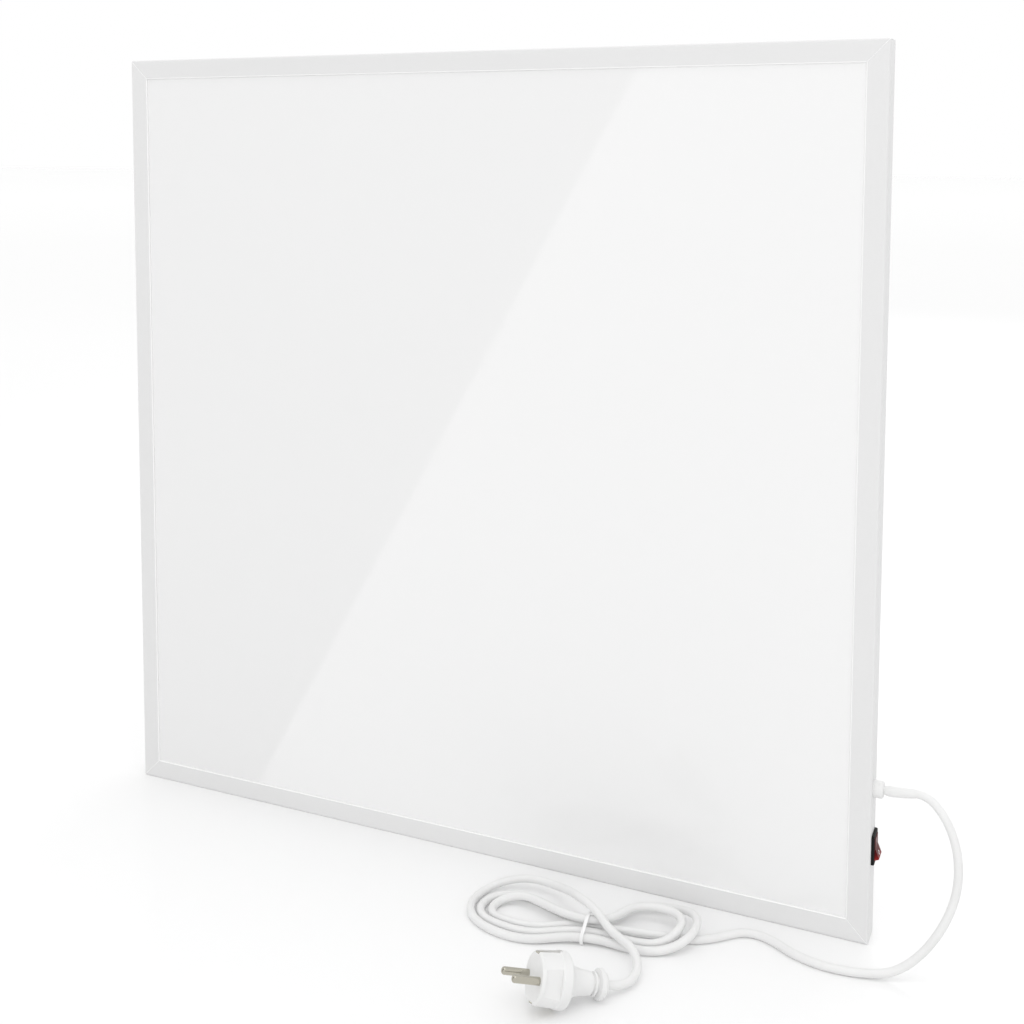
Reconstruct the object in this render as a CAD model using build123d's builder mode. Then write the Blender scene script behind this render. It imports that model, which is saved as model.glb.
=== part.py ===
from build123d import *
import os
from math import atan2, cos, radians, sin, sqrt, tan

# Infrared panel heater for the wall, in millimetres.  Its origin is the middle
# of its four wall fixings, in the plane of the wall: +X towards the switch, -Y
# out of the heating face, +Z up.  The pieces are drawn from the middle of the
# lower edge, half way through the depth, and moved to that origin when written.

# ---------------------------------------------------------------- dimensions
# panel and its channel-section frame
panel_w = 600.0
panel_h = 600.0
face_w = 15.0            # width of the frame's front face
front_wall = 1.4
side_wall = 1.4
rear_wall = 1.2
rear_flange_w = 11.0
face_fall = 0.5          # the front face falls this much towards the glass
crown_w = 3.5            # level band of the front face before it falls
edge_r = 1.2             # outer front and rear edges
lip_r = 0.5              # rounded lip beside the glass

# layers behind the frame's front wall
seal_t = 0.3
seal_w = 3.2
glass_t = 3.0
glass_bite = 4.0         # how far the glass reaches under the frame
glass_corner_r = 2.0
film_t = 0.4
film_margin = 11.0       # from the glass's edge to the film's edge
strip_t = 0.2
strip_count = 20
strip_share = 0.8        # painted part of each strip's pitch
busbar_w = 10.0
busbar_inset = 8.0
tab_z = 7.5              # lower end of the busbars' connecting tabs
tab_l = 24.0
board_t = 0.5
foil_t = 0.2
mat_gap = 1.0            # from the rear flange to the mineral wool
cover_t = 0.8
cover_gap = 0.3
layer_gap = 0.1

# rocker switch
bezel_l = 20.2
bezel_w = 15.0
bezel_t = 2.0
bezel_corner_r = 1.2
bezel_edge = 0.5
switch_body_l = 18.2
switch_body_w = 12.9
switch_body_d = 12.8
switch_floor_t = 1.6
switch_gap = 0.2         # from the switch body to what lies beside it
switch_z = 63.5
rocker_l = 13.9
rocker_w = 10.6
rocker_gap = 0.3
rocker_swing = 11.5      # degrees each side of level
rocker_rise = 4.9        # from the pivot to the rocker's ends
rocker_valley = 3.6      # from the pivot to the fold between its two faces
rocker_skirt_r = 7.8
rocker_skirt_d = 6.0
rocker_shell = 1.2
pivot_in = 1.0           # pivot axis behind the frame's outer face
pivot_r = 1.2
pivot_clearance = 0.05
lamp_r = 1.6
lamp_l = 7.0
blade_w = 4.8
blade_t = 0.8
blade_l = 9.0
blade_pitch = 6.8
ear_w = 6.0
ear_l = 5.5
ear_out = 1.3

# cord inlet
gland_z = 104.3
gland_r = 5.7
gland_out = 6.5
gland_edge_r = 1.5       # rounding of its outer end
gland_stub_r = 4.8
gland_stub_l = 10.0
gland_nut_af = 12.6
gland_nut_t = 4.0
hole_clearance = 0.05

# back cover, its screws and the wall brackets
screw_r = 1.4
screw_head_r = 2.8
screw_head_h = 1.7
screw_l = 6.0
screw_rise = 150.0       # between the middle screws of the upright sides
screw_end = 40.0         # end screws of the upright sides, from the corners
screw_margin = 60.0      # end screws of the level sides, from the corners
screw_inset = 6.5        # from the frame's outer edge
bracket_inset = 100.0    # from the panel's sides to the brackets' middles
bracket_l = 50.0
bracket_t = 1.5
bracket_stand = 10.0     # how far its face stands off the cover
bracket_face_w = 30.0
bracket_foot_w = 13.0
bracket_bend_r = 2.0
keyhole_r = 5.0
keyhole_slot_r = 2.6
keyhole_drop = 9.0
rivet_r = 1.6
rivet_head_r = 3.2
rivet_head_h = 1.1
rivet_tail_r = 2.4
rivet_tail_l = 1.2
pocket_gap = 0.6

# corner keys
key_leg = 34.0
key_w = 8.0
key_t = 4.0
key_hole_r = 1.6

# wiring compartment in the mineral wool's lower corner
bay_h = 150.0
wire_lane = 6.5          # between the upright runs of the wires
block_gap = 5.0          # from the terminal block to the wire behind it
block_z = 78.0
block_l = 30.0
block_w = 16.0
block_h = 9.5
block_way = 9.4          # pitch of its three ways
block_screw_r = 1.9
cutout_z = 128.0
cutout_r = 8.0
cutout_h = 7.0
cutout_flange_t = 1.0
earth_z = 34.0
earth_bolt_r = 2.0
earth_nut_r = 4.0
earth_nut_t = 3.0
earth_lug_r = 4.5
wire_d = 2.2
wire_bend_r = 4.0

# cord: settled by its route on the floor in front of the panel
cord_d = 5.6
hank_step = 7.4          # centre to centre across the tied waist
waist_x = 125.5
waist_y = -67.6
waist_far = -3.0         # nearest low strand, measured across the waist
left_turn = 181.5        # directions of the two lobes, degrees
right_turn = 14.4
left_out = 46.0          # where the left lobes are widest
right_out = 38.5
left_ends = [71.5, 79.5, 87.5]
left_far = [6.6, 14.2, 29.0]
left_near = [-17.2, -25.0, -33.2]
right_ends = [60.5, 71.0]
right_far = [15.8, 27.0]
right_near = [-15.2, -23.4]
layer_rise = 6.7
tie_d = 1.2
tie_lift = 0.2

# plug
plug_r = 16.6
plug_face_r = 15.2
plug_body_l = 18.5
plug_rim_l = 5.0
plug_neck_r = 6.9
plug_neck_end = 37.5
plug_collar_r = 9.0
plug_l = 48.0
plug_collar_edge = 2.2   # bevel at the collar's end
plug_flat = 13.4         # from the axis to the grip flats
plug_x = 122.4           # middle of the face that carries the pins
plug_y = -162.8
plug_yaw = 39.4
plug_roll = 18.0
pin_r = 2.4
pin_l = 18.0
pin_gap = 19.0
clip_w = 5.0
clip_t = 0.8
clip_l = 16.0
clip_depth = 1.6
slot_side = 0.3

# ------------------------------------------------------------- derived places
core_d = switch_body_w + 2 * switch_gap          # space behind the glass
panel_d = front_wall + seal_t + glass_t + core_d + rear_wall + cover_t
half_w = panel_w / 2
y_front = -panel_d / 2
y_seal = y_front + front_wall
y_glass = y_seal + seal_t
y_film = y_glass + glass_t
y_strip = y_film + film_t
y_board = y_strip + strip_t
y_foil = y_board + board_t
y_mat = y_foil + foil_t
y_flange = y_film + core_d                       # rear flange's inner face
y_cover = y_flange + rear_wall
y_back = y_cover + cover_t

glass_w = panel_w - 2 * (face_w - glass_bite)
glass_h = panel_h - 2 * (face_w - glass_bite)
film_w = glass_w - 2 * film_margin
film_h = glass_h - 2 * film_margin
mat_w = panel_w - 2 * (rear_flange_w + mat_gap)
mat_h = panel_h - 2 * (rear_flange_w + mat_gap)
mid_z = panel_h / 2
bracket_dx = panel_w - 2 * bracket_inset
bracket_dz = panel_h - 2 * bracket_inset
screw_run = (panel_w - 2 * screw_margin) / 3     # four screws along each level side

switch_y = y_film + switch_gap + switch_body_w / 2
pivot_x = half_w - pivot_in
opening_w = rocker_w + 2 * rocker_gap
opening_l = 2 * (sqrt((rocker_l / 2) ** 2 + rocker_rise**2) - 0.25)
gland_y = 0.0
rest_angle = -rocker_swing

# upright runs of the wires, counted inwards from the cord's inner end
inner_end = half_w - side_wall - gland_stub_l - 4.0
earth_lane = inner_end - wire_lane / 2
neutral_lane = earth_lane - wire_lane
live_lane = neutral_lane - wire_lane
switch_lane = live_lane - wire_lane
block_x = switch_lane - wire_lane - block_w / 2
heater_lane = block_x - block_w / 2 - block_gap
return_lane = heater_lane - wire_lane
bay_w = mat_w / 2 - (return_lane - 1.5 * wire_d)
cutout_x = block_x
earth_x = block_x

# middle of the four wall screws, in the plane of the wall
fixing_centre = Vector(0, y_back + bracket_stand, mid_z)

os.makedirs("parts", exist_ok=True)


def write(piece, name):
    """Label a finished piece and write it, placed from the wall fixings."""
    placed = piece.part.moved(Location(-fixing_centre))
    placed.label = name
    export_step(placed, f"parts/{name}.step")


def sheet_plane(y):
    """Plane across the panel at depth y; sketches read x and height, and grow to +Y."""
    return Plane(origin=(0, y, 0), x_dir=(-1, 0, 0), z_dir=(0, 1, 0))


def right_plane(y, z):
    """Plane of the frame's right-hand face, growing to +X."""
    return Plane(origin=(half_w, y, z), x_dir=(0, 1, 0), z_dir=(1, 0, 0))


def perimeter_points(inset):
    """Screw places along all four sides, at one distance from the outer edge."""
    points = []
    for k in (-1.5, -0.5, 0.5, 1.5):
        points += [(k * screw_run, inset), (k * screw_run, panel_h - inset)]
    for z in (screw_end, mid_z - screw_rise, mid_z, mid_z + screw_rise, panel_h - screw_end):
        points += [(inset - half_w, z), (half_w - inset, z)]
    return points


# ---------------------------------------------------------------------- frame
def frame_member(name, outer_mid, inward, length):
    """One mitred length of the frame's channel section."""
    inward = Vector(inward)
    along = inward.cross(Vector(0, 1, 0))
    section = Plane(origin=(outer_mid[0], y_front, outer_mid[1]), x_dir=inward, z_dir=along)
    v_inner = front_wall
    v_flange = y_flange - y_front
    v_seat = y_cover - y_front
    with BuildPart() as member:
        with BuildSketch(section):
            with BuildLine():
                Line((crown_w, 0), (edge_r, 0))
                RadiusArc((edge_r, 0), (0, edge_r), edge_r)
                Line((0, edge_r), (0, panel_d - edge_r / 2))
                RadiusArc((0, panel_d - edge_r / 2), (edge_r / 2, panel_d), edge_r / 2)
                Polyline(
                    (edge_r / 2, panel_d),
                    (side_wall, panel_d),
                    (side_wall, v_seat),
                    (rear_flange_w, v_seat),
                    (rear_flange_w, v_flange),
                    (side_wall, v_flange),
                    (side_wall, v_inner),
                    (face_w, v_inner),
                    (face_w, face_fall + lip_r),
                )
                RadiusArc((face_w, face_fall + lip_r), (face_w - lip_r, face_fall), lip_r)
                Line((face_w - lip_r, face_fall), (crown_w, 0))
            make_face()
        extrude(amount=length / 2, both=True)
        for side in (-1, 1):
            corner = section.origin + along * (side * length / 2)
            split(bisect_by=Plane(origin=corner, z_dir=-(along * side + inward)), keep=Keep.TOP)
        with Locations(*[Location((x, y_back, z), (90, 0, 0)) for x, z in perimeter_points(screw_inset)]):
            Cylinder(screw_r + hole_clearance, 3 * (cover_t + rear_wall), mode=Mode.SUBTRACT)
        if name == "frame_right":
            with BuildSketch(right_plane(switch_y, switch_z)):
                Rectangle(switch_body_w + 2 * hole_clearance, switch_body_l + 2 * hole_clearance)
            extrude(amount=-side_wall, mode=Mode.SUBTRACT)
            with BuildSketch(right_plane(gland_y, gland_z)):
                Circle(gland_stub_r + hole_clearance)
            extrude(amount=-side_wall, mode=Mode.SUBTRACT)
    write(member, name)


frame_member("frame_bottom", (0, 0), (0, 0, 1), panel_w)
frame_member("frame_top", (0, panel_h), (0, 0, -1), panel_w)
frame_member("frame_left", (-half_w, mid_z), (1, 0, 0), panel_h)
frame_member("frame_right", (half_w, mid_z), (-1, 0, 0), panel_h)

# L-shaped keys inside the four corners, lying on the rear flange
with BuildPart() as corner_keys:
    for sx in (-1, 1):
        for top in (False, True):
            x0 = sx * (half_w - side_wall - layer_gap)
            z0 = panel_h - side_wall - layer_gap if top else side_wall + layer_gap
            sz = -1 if top else 1
            with BuildSketch(sheet_plane(y_flange - key_t)):
                with BuildLine():
                    Polyline(
                        (-x0, z0),
                        (-(x0 - sx * key_leg), z0),
                        (-(x0 - sx * key_leg), z0 + sz * key_w),
                        (-(x0 - sx * key_w), z0 + sz * key_w),
                        (-(x0 - sx * key_w), z0 + sz * key_leg),
                        (-x0, z0 + sz * key_leg),
                        close=True,
                    )
                make_face()
                for reach in (0.5, 0.85):
                    with Locations(
                        (-(x0 - sx * key_leg * reach), z0 + sz * key_w / 2),
                        (-(x0 - sx * key_w / 2), z0 + sz * key_leg * reach),
                    ):
                        Circle(key_hole_r, mode=Mode.SUBTRACT)
            extrude(amount=key_t)
write(corner_keys, "corner_keys")


# ------------------------------------------------------------ layers, in order
def sheet(name, y, width, height, thickness, corner_r=0.0, edge=0.0):
    """Plain flat layer centred on the panel."""
    with BuildPart() as layer:
        with BuildSketch(sheet_plane(y)):
            with Locations((0, mid_z)):
                if corner_r:
                    RectangleRounded(width, height, corner_r)
                else:
                    Rectangle(width, height)
        extrude(amount=thickness)
        if edge:
            chamfer(layer.edges().group_by(Axis.Y)[0], edge)
    write(layer, name)


sheet("front_glass", y_glass, glass_w, glass_h, glass_t, glass_corner_r, seal_t)
sheet("heating_film", y_film, film_w, film_h, film_t)
sheet("insulating_board", y_board, film_w, film_h, board_t)
sheet("reflector_foil", y_foil, film_w, film_h, foil_t)

with BuildPart() as glass_seal:
    with BuildSketch(sheet_plane(y_seal)):
        with Locations((0, mid_z)):
            Rectangle(panel_w - 2 * (face_w - seal_w), panel_h - 2 * (face_w - seal_w))
            Rectangle(panel_w - 2 * face_w, panel_h - 2 * face_w, mode=Mode.SUBTRACT)
    extrude(amount=seal_t)
write(glass_seal, "glass_seal")

busbar_x = film_w / 2 - busbar_inset - busbar_w / 2
with BuildPart() as busbars:
    with BuildSketch(sheet_plane(y_strip)):
        with Locations((-busbar_x, mid_z), (busbar_x, mid_z)):
            Rectangle(busbar_w, film_h - 2 * busbar_inset)
        with Locations((-busbar_x, tab_z + tab_l / 2), (busbar_x, tab_z + tab_l / 2)):
            Rectangle(busbar_w / 2, tab_l)
    extrude(amount=strip_t)
write(busbars, "copper_busbars")

strip_pitch = (film_h - 2 * busbar_inset) / strip_count
with BuildPart() as carbon_strips:
    with BuildSketch(sheet_plane(y_strip)):
        with Locations((0, mid_z)):
            with GridLocations(0, strip_pitch, 1, strip_count):
                Rectangle(2 * busbar_x - busbar_w, strip_pitch * strip_share)
    extrude(amount=strip_t)
write(carbon_strips, "carbon_strips")

bracket_z = [mid_z - bracket_dz / 2, mid_z + bracket_dz / 2]
bracket_x = [-bracket_dx / 2, bracket_dx / 2]
foot_mid = (bracket_face_w + bracket_foot_w) / 2
rivet_places = []
for bx in bracket_x:
    for bz in bracket_z:
        rivet_places += [(bx, bz - foot_mid), (bx, bz + foot_mid)]
block_rivets = [(block_x, block_z - block_way / 2), (block_x, block_z + block_way / 2)]

# mineral wool, cut away where the wiring sits and dimpled over each rivet's tail
bay_x = mat_w / 2 - bay_w
with BuildPart() as insulation_mat:
    with BuildSketch(sheet_plane(y_mat)):
        with Locations((0, mid_z)):
            Rectangle(mat_w, mat_h)
        with Locations((-(mat_w / 2 - bay_w / 2), mid_z - mat_h / 2 + bay_h / 2)):
            Rectangle(bay_w, bay_h, mode=Mode.SUBTRACT)
    extrude(amount=y_cover - y_mat)
    with BuildSketch(sheet_plane(y_cover)):
        for rx, rz in rivet_places:
            with Locations((-rx, rz)):
                Circle(rivet_tail_r + pocket_gap)
    extrude(amount=-(rivet_tail_l + pocket_gap), mode=Mode.SUBTRACT)
write(insulation_mat, "insulation_mat")

# ------------------------------------------------------------------ back cover
cover_w = panel_w - 2 * (side_wall + cover_gap)
cover_h = panel_h - 2 * (side_wall + cover_gap)
with BuildPart() as back_cover:
    with BuildSketch(sheet_plane(y_cover)):
        with Locations((0, mid_z)):
            RectangleRounded(cover_w, cover_h, edge_r)
        for sx, sz in perimeter_points(screw_inset):
            with Locations((-sx, sz)):
                Circle(screw_r + hole_clearance, mode=Mode.SUBTRACT)
        for rx, rz in rivet_places + block_rivets:
            with Locations((-rx, rz)):
                Circle(rivet_r + hole_clearance, mode=Mode.SUBTRACT)
        with Locations((-earth_x, earth_z)):
            Circle(earth_bolt_r + hole_clearance, mode=Mode.SUBTRACT)
    extrude(amount=cover_t)
write(back_cover, "back_cover")


def turned(points, profile):
    """Solids of revolution about the depth axis, one at each place of points."""
    with BuildPart() as group:
        for px, pz in points:
            section = Plane(origin=(px, 0, pz), x_dir=(1, 0, 0), z_dir=(0, 0, 1))
            with BuildSketch(section):
                with BuildLine():
                    Polyline(*profile, close=True)
                make_face()
            revolve(axis=Axis((px, 0, pz), (0, 1, 0)))
    return group


screw_profile = [
    (0, y_back - screw_l),
    (screw_r * 0.3, y_back - screw_l),
    (screw_r, y_back - screw_l + 1.6),
    (screw_r, y_back),
    (screw_head_r, y_back),
    (screw_head_r, y_back + screw_head_h * 0.45),
    (screw_head_r * 0.72, y_back + screw_head_h * 0.9),
    (screw_head_r * 0.35, y_back + screw_head_h),
    (0, y_back + screw_head_h * 0.75),
]
write(turned(perimeter_points(screw_inset), screw_profile), "cover_screws")


def rivet_profile(outer_y, grip):
    """Dome head on the outer face, tail set behind the grip."""
    return [
        (0, outer_y - grip - rivet_tail_l),
        (rivet_tail_r * 0.8, outer_y - grip - rivet_tail_l),
        (rivet_tail_r, outer_y - grip - rivet_tail_l * 0.5),
        (rivet_tail_r, outer_y - grip),
        (rivet_r, outer_y - grip),
        (rivet_r, outer_y),
        (rivet_head_r, outer_y),
        (rivet_head_r * 0.85, outer_y + rivet_head_h * 0.6),
        (rivet_head_r * 0.4, outer_y + rivet_head_h),
        (0, outer_y + rivet_head_h),
    ]


bracket_grip = cover_t + bracket_t
write(turned(rivet_places, rivet_profile(y_back + bracket_t, bracket_grip)), "bracket_rivets")

# four hat-section wall brackets, each with a keyhole in its raised face
with BuildPart() as wall_brackets:
    for bx in bracket_x:
        for bz in bracket_z:
            reach = bracket_face_w / 2
            with BuildSketch(Plane(origin=(bx, 0, bz), x_dir=(0, 1, 0), z_dir=(1, 0, 0))):
                with BuildLine() as spine:
                    FilletPolyline(
                        (y_back + bracket_t / 2, -reach - bracket_foot_w),
                        (y_back + bracket_t / 2, -reach),
                        (y_back + bracket_stand - bracket_t / 2, -reach),
                        (y_back + bracket_stand - bracket_t / 2, reach),
                        (y_back + bracket_t / 2, reach),
                        (y_back + bracket_t / 2, reach + bracket_foot_w),
                        radius=bracket_bend_r,
                    )
                trace(line_width=bracket_t)
            extrude(amount=bracket_l / 2, both=True)
            with BuildSketch(sheet_plane(y_back + bracket_stand + 1)):
                with Locations((-bx, bz)):
                    Circle(keyhole_r)
                with Locations((-bx, bz + keyhole_drop / 2)):
                    SlotCenterToCenter(keyhole_drop, 2 * keyhole_slot_r, rotation=90)
            extrude(amount=-(bracket_t + 2), mode=Mode.SUBTRACT)
    with BuildSketch(sheet_plane(y_back + bracket_t + 1)):
        for rx, rz in rivet_places:
            with Locations((-rx, rz)):
                Circle(rivet_r + hole_clearance)
    extrude(amount=-(bracket_t + 1), mode=Mode.SUBTRACT)
write(wall_brackets, "wall_brackets")

# ---------------------------------------------------------------- rocker switch
side_plane = right_plane(switch_y, switch_z)
blade_places = [-blade_pitch, 0.0, blade_pitch]
with BuildPart() as switch_housing:
    with BuildSketch(side_plane):
        RectangleRounded(bezel_w, bezel_l, bezel_corner_r)
    extrude(amount=bezel_t)
    chamfer(switch_housing.edges().group_by(Axis.X)[-1], bezel_edge)
    with BuildSketch(side_plane):
        Rectangle(switch_body_w, switch_body_l)
    extrude(amount=-switch_body_d)
    with BuildSketch(side_plane.offset(bezel_t)):
        Rectangle(opening_w, opening_l)
    extrude(amount=-(bezel_t + switch_body_d - switch_floor_t), mode=Mode.SUBTRACT)
    with BuildSketch(Plane(origin=(pivot_x, switch_y, switch_z), x_dir=(1, 0, 0), z_dir=(0, -1, 0))):
        Circle(pivot_r + pivot_clearance)
    extrude(amount=switch_body_w / 2 + 1, both=True, mode=Mode.SUBTRACT)
    with BuildSketch(side_plane.offset(-switch_body_d)):
        for dz in blade_places:
            with Locations((0, dz)):
                Rectangle(blade_w + 2 * hole_clearance, blade_t + 2 * hole_clearance)
    extrude(amount=switch_floor_t, mode=Mode.SUBTRACT)
    # snap ears behind the frame's wall, above and below the body
    for sz in (-1, 1):
        edge_z = sz * switch_body_l / 2
        catch = -(side_wall + layer_gap)
        with BuildSketch(Plane(origin=side_plane.origin, x_dir=(1, 0, 0), z_dir=(0, -1, 0))):
            with BuildLine():
                Polyline(
                    (catch, edge_z),
                    (catch, edge_z + sz * ear_out),
                    (catch - ear_l, edge_z),
                    close=True,
                )
            make_face()
        extrude(amount=ear_w / 2, both=True)
write(switch_housing, "switch_housing")

with BuildPart() as switch_terminals:
    for dz in blade_places:
        with BuildSketch(side_plane.offset(-switch_body_d + switch_floor_t)):
            with Locations((0, dz)):
                Rectangle(blade_w, blade_t)
        extrude(amount=-(switch_floor_t + blade_l))
write(switch_terminals, "switch_terminals")

# the rocker rests with its upper end pressed in
tilt = radians(rest_angle)
rocker_plane = Plane(
    origin=(pivot_x, switch_y, switch_z),
    x_dir=(cos(tilt), 0, -sin(tilt)),
    z_dir=(0, -1, 0),
)
skirt_a = 1.8
skirt_b = sqrt(rocker_skirt_r**2 - skirt_a**2)
heel_a = -3.0
heel_b = sqrt(rocker_skirt_r**2 - heel_a**2)
with BuildPart() as rocker:
    with BuildSketch(rocker_plane):
        with BuildLine():
            Polyline((skirt_a, -skirt_b), (rocker_rise, -rocker_l / 2), (rocker_valley, 0))
            Polyline((rocker_valley, 0), (rocker_rise, rocker_l / 2), (skirt_a, skirt_b))
            ThreePointArc((skirt_a, skirt_b), (0, rocker_skirt_r), (heel_a, heel_b))
            Polyline(
                (heel_a, heel_b),
                (-rocker_skirt_d, heel_b * 0.6),
                (-rocker_skirt_d, -heel_b * 0.6),
                (heel_a, -heel_b),
            )
            ThreePointArc((heel_a, -heel_b), (0, -rocker_skirt_r), (skirt_a, -skirt_b))
        make_face()
    extrude(amount=rocker_w / 2, both=True)
    fillet(rocker.edges().filter_by(Axis.Y).group_by(Axis.X)[-1], 0.5)
    with BuildSketch(rocker_plane):
        with Locations(((rocker_valley - rocker_shell * 1.5 - rocker_skirt_d) / 2 - 0.5, 0)):
            Rectangle(rocker_valley - rocker_shell * 1.5 + rocker_skirt_d + 1, lamp_l + 2 * layer_gap)
    extrude(amount=rocker_w / 2 - rocker_shell, both=True, mode=Mode.SUBTRACT)
    with BuildSketch(rocker_plane):
        Circle(pivot_r)
    extrude(amount=opening_w / 2 + 0.6, both=True, mode=Mode.ADD)
    with BuildSketch(rocker_plane):
        with Locations((-rocker_skirt_d / 2, 0)):
            Rectangle(rocker_skirt_d - layer_gap + 2 * lamp_r, lamp_l + 2 * layer_gap)
    extrude(amount=rocker_w / 2 - rocker_shell, both=True, mode=Mode.SUBTRACT)
write(rocker, "rocker")

lamp_a = rocker_valley - rocker_shell * 1.5 - lamp_r - layer_gap
with BuildPart() as rocker_lamp:
    lamp_centre = rocker_plane.from_local_coords(Vector(lamp_a, -lamp_l / 2, 0))
    with BuildSketch(Plane(origin=lamp_centre, z_dir=rocker_plane.y_dir)):
        Circle(lamp_r)
    extrude(amount=lamp_l)
    fillet(rocker_lamp.edges(), lamp_r * 0.6)
write(rocker_lamp, "rocker_lamp")

# ----------------------------------------------------------------- cord inlet
gland_axis = Axis((0, gland_y, gland_z), (1, 0, 0))
gland_section = Plane(origin=(half_w, gland_y, gland_z), x_dir=(1, 0, 0), z_dir=(0, -1, 0))
cord_r = cord_d / 2
bore_r = cord_r + hole_clearance
with BuildPart() as cord_gland:
    with BuildSketch(gland_section):
        with BuildLine():
            Polyline((gland_out, bore_r), (-side_wall - gland_stub_l, bore_r))
            Polyline(
                (-side_wall - gland_stub_l, bore_r),
                (-side_wall - gland_stub_l, gland_stub_r - 0.6),
                (-side_wall - gland_stub_l + 0.6, gland_stub_r),
                (0, gland_stub_r),
                (0, gland_r),
                (gland_out - gland_edge_r, gland_r),
            )
            nose = (gland_out, gland_r - gland_edge_r)
            TangentArc((gland_out - gland_edge_r, gland_r), nose, tangent=(1, 0))
            Line(nose, (gland_out, bore_r))
        make_face()
    revolve(axis=gland_axis)
write(cord_gland, "cord_gland")

with BuildPart() as gland_nut:
    with BuildSketch(Plane(origin=(half_w - side_wall, gland_y, gland_z), x_dir=(0, 1, 0), z_dir=(-1, 0, 0))):
        RegularPolygon(gland_nut_af / 2, 6, major_radius=False)
        Circle(gland_stub_r + hole_clearance, mode=Mode.SUBTRACT)
    extrude(amount=gland_nut_t)
write(gland_nut, "gland_nut")

# jacketed end of the cord inside the gland and the wiring compartment
with BuildPart() as cord_inner_end:
    with BuildSketch(Plane(origin=(half_w + gland_out, gland_y, gland_z), z_dir=(-1, 0, 0))):
        Circle(cord_r)
    extrude(amount=half_w + gland_out - inner_end)
write(cord_inner_end, "cord_inner_end")

# ---------------------------------------------------------- inside the compartment
block_y = y_cover - block_h
with BuildPart() as terminal_block:
    with BuildSketch(sheet_plane(block_y)):
        with Locations((-block_x, block_z)):
            RectangleRounded(block_w, block_l, 1.0)
    extrude(amount=block_h)
    with BuildSketch(sheet_plane(block_y)):
        for way in (-1, 1):
            with Locations((-block_x, block_z + way * block_way / 2)):
                Rectangle(block_w + 2, 1.0)
    extrude(amount=block_h * 0.45, mode=Mode.SUBTRACT)
    with BuildSketch(sheet_plane(block_y)):
        for way in (-1, 0, 1):
            with Locations(
                (-block_x - block_w / 4, block_z + way * block_way),
                (-block_x + block_w / 4, block_z + way * block_way),
            ):
                Circle(block_screw_r + layer_gap)
    extrude(amount=block_h * 0.4, mode=Mode.SUBTRACT)
    with BuildSketch(sheet_plane(block_y)):
        for rx, rz in block_rivets:
            with Locations((-rx, rz)):
                Circle(rivet_r + hole_clearance)
    extrude(amount=block_h, mode=Mode.SUBTRACT)
    with BuildSketch(sheet_plane(block_y)):
        for rx, rz in block_rivets:
            with Locations((-rx, rz)):
                Circle(rivet_tail_r + layer_gap)
    extrude(amount=block_h - cover_t * 3, mode=Mode.SUBTRACT)
write(terminal_block, "terminal_block")

block_screw_places = [
    (block_x + side * block_w / 4, block_z + way * block_way) for way in (-1, 0, 1) for side in (-1, 1)
]
screw_seat = block_y + block_h * 0.4
write(
    turned(
        block_screw_places,
        [
            (0, screw_seat - 2.4),
            (block_screw_r * 0.85, screw_seat - 2.4),
            (block_screw_r, screw_seat - 2.1),
            (block_screw_r, screw_seat - 0.2),
            (0, screw_seat - 0.2),
        ],
    ),
    "terminal_screws",
)
write(turned(block_rivets, rivet_profile(y_back, cover_t * 4)), "block_rivets")

with BuildPart() as thermal_cutout:
    with BuildSketch(sheet_plane(y_mat + layer_gap)):
        with Locations((-cutout_x, cutout_z)):
            SlotOverall(3.1 * cutout_r, 1.1 * cutout_r)
    extrude(amount=cutout_flange_t)
    with BuildSketch(sheet_plane(y_mat + layer_gap)):
        with Locations((-cutout_x, cutout_z)):
            Circle(cutout_r)
    extrude(amount=cutout_h)
    chamfer(thermal_cutout.edges().group_by(Axis.Y)[-1], 0.6)
    with BuildSketch(sheet_plane(y_mat + layer_gap + cutout_h - 0.2)):
        for side in (-1, 1):
            with Locations((-cutout_x + side * cutout_r * 0.5, cutout_z)):
                Rectangle(blade_t, blade_w)
    extrude(amount=4.0)
write(thermal_cutout, "thermal_cutout")

# earth bolt through the cover, with its ring terminal under the nut
with BuildPart() as earth_bolt:
    with BuildSketch(sheet_plane(y_back)):
        with Locations((-earth_x, earth_z)):
            RegularPolygon(earth_nut_r, 6)
    extrude(amount=rivet_head_h * 2)
    with BuildSketch(sheet_plane(y_back)):
        with Locations((-earth_x, earth_z)):
            Circle(earth_bolt_r)
    extrude(amount=-(cover_t + blade_t + earth_nut_t + 2.0))
write(earth_bolt, "earth_bolt")

lug_y = y_cover - blade_t
with BuildPart() as earth_lug:
    with BuildSketch(sheet_plane(lug_y)):
        with Locations((-earth_x, earth_z)):
            Circle(earth_lug_r)
        with Locations((-earth_x, earth_z + earth_lug_r)):
            Rectangle(blade_w, 2 * earth_lug_r)
        with Locations((-earth_x, earth_z)):
            Circle(earth_bolt_r + hole_clearance, mode=Mode.SUBTRACT)
    extrude(amount=blade_t)
write(earth_lug, "earth_lug")

with BuildPart() as earth_nut:
    with BuildSketch(sheet_plane(lug_y)):
        with Locations((-earth_x, earth_z)):
            RegularPolygon(earth_nut_r, 6)
            Circle(earth_bolt_r + hole_clearance, mode=Mode.SUBTRACT)
    extrude(amount=-earth_nut_t)
write(earth_nut, "earth_nut")


# -------------------------------------------------------------------- wiring
def corner_radii(points, largest=1e9):
    """Largest arc that each corner's two runs allow, up to a limit."""
    radii = []
    for a, b, c in zip(points[:-2], points[1:-1], points[2:]):
        turn = radians((b - a).get_angle(c - b))
        radii.append(min(largest, 0.45 * min((b - a).length, (c - b).length) / tan(turn / 2)))
    return radii


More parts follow.
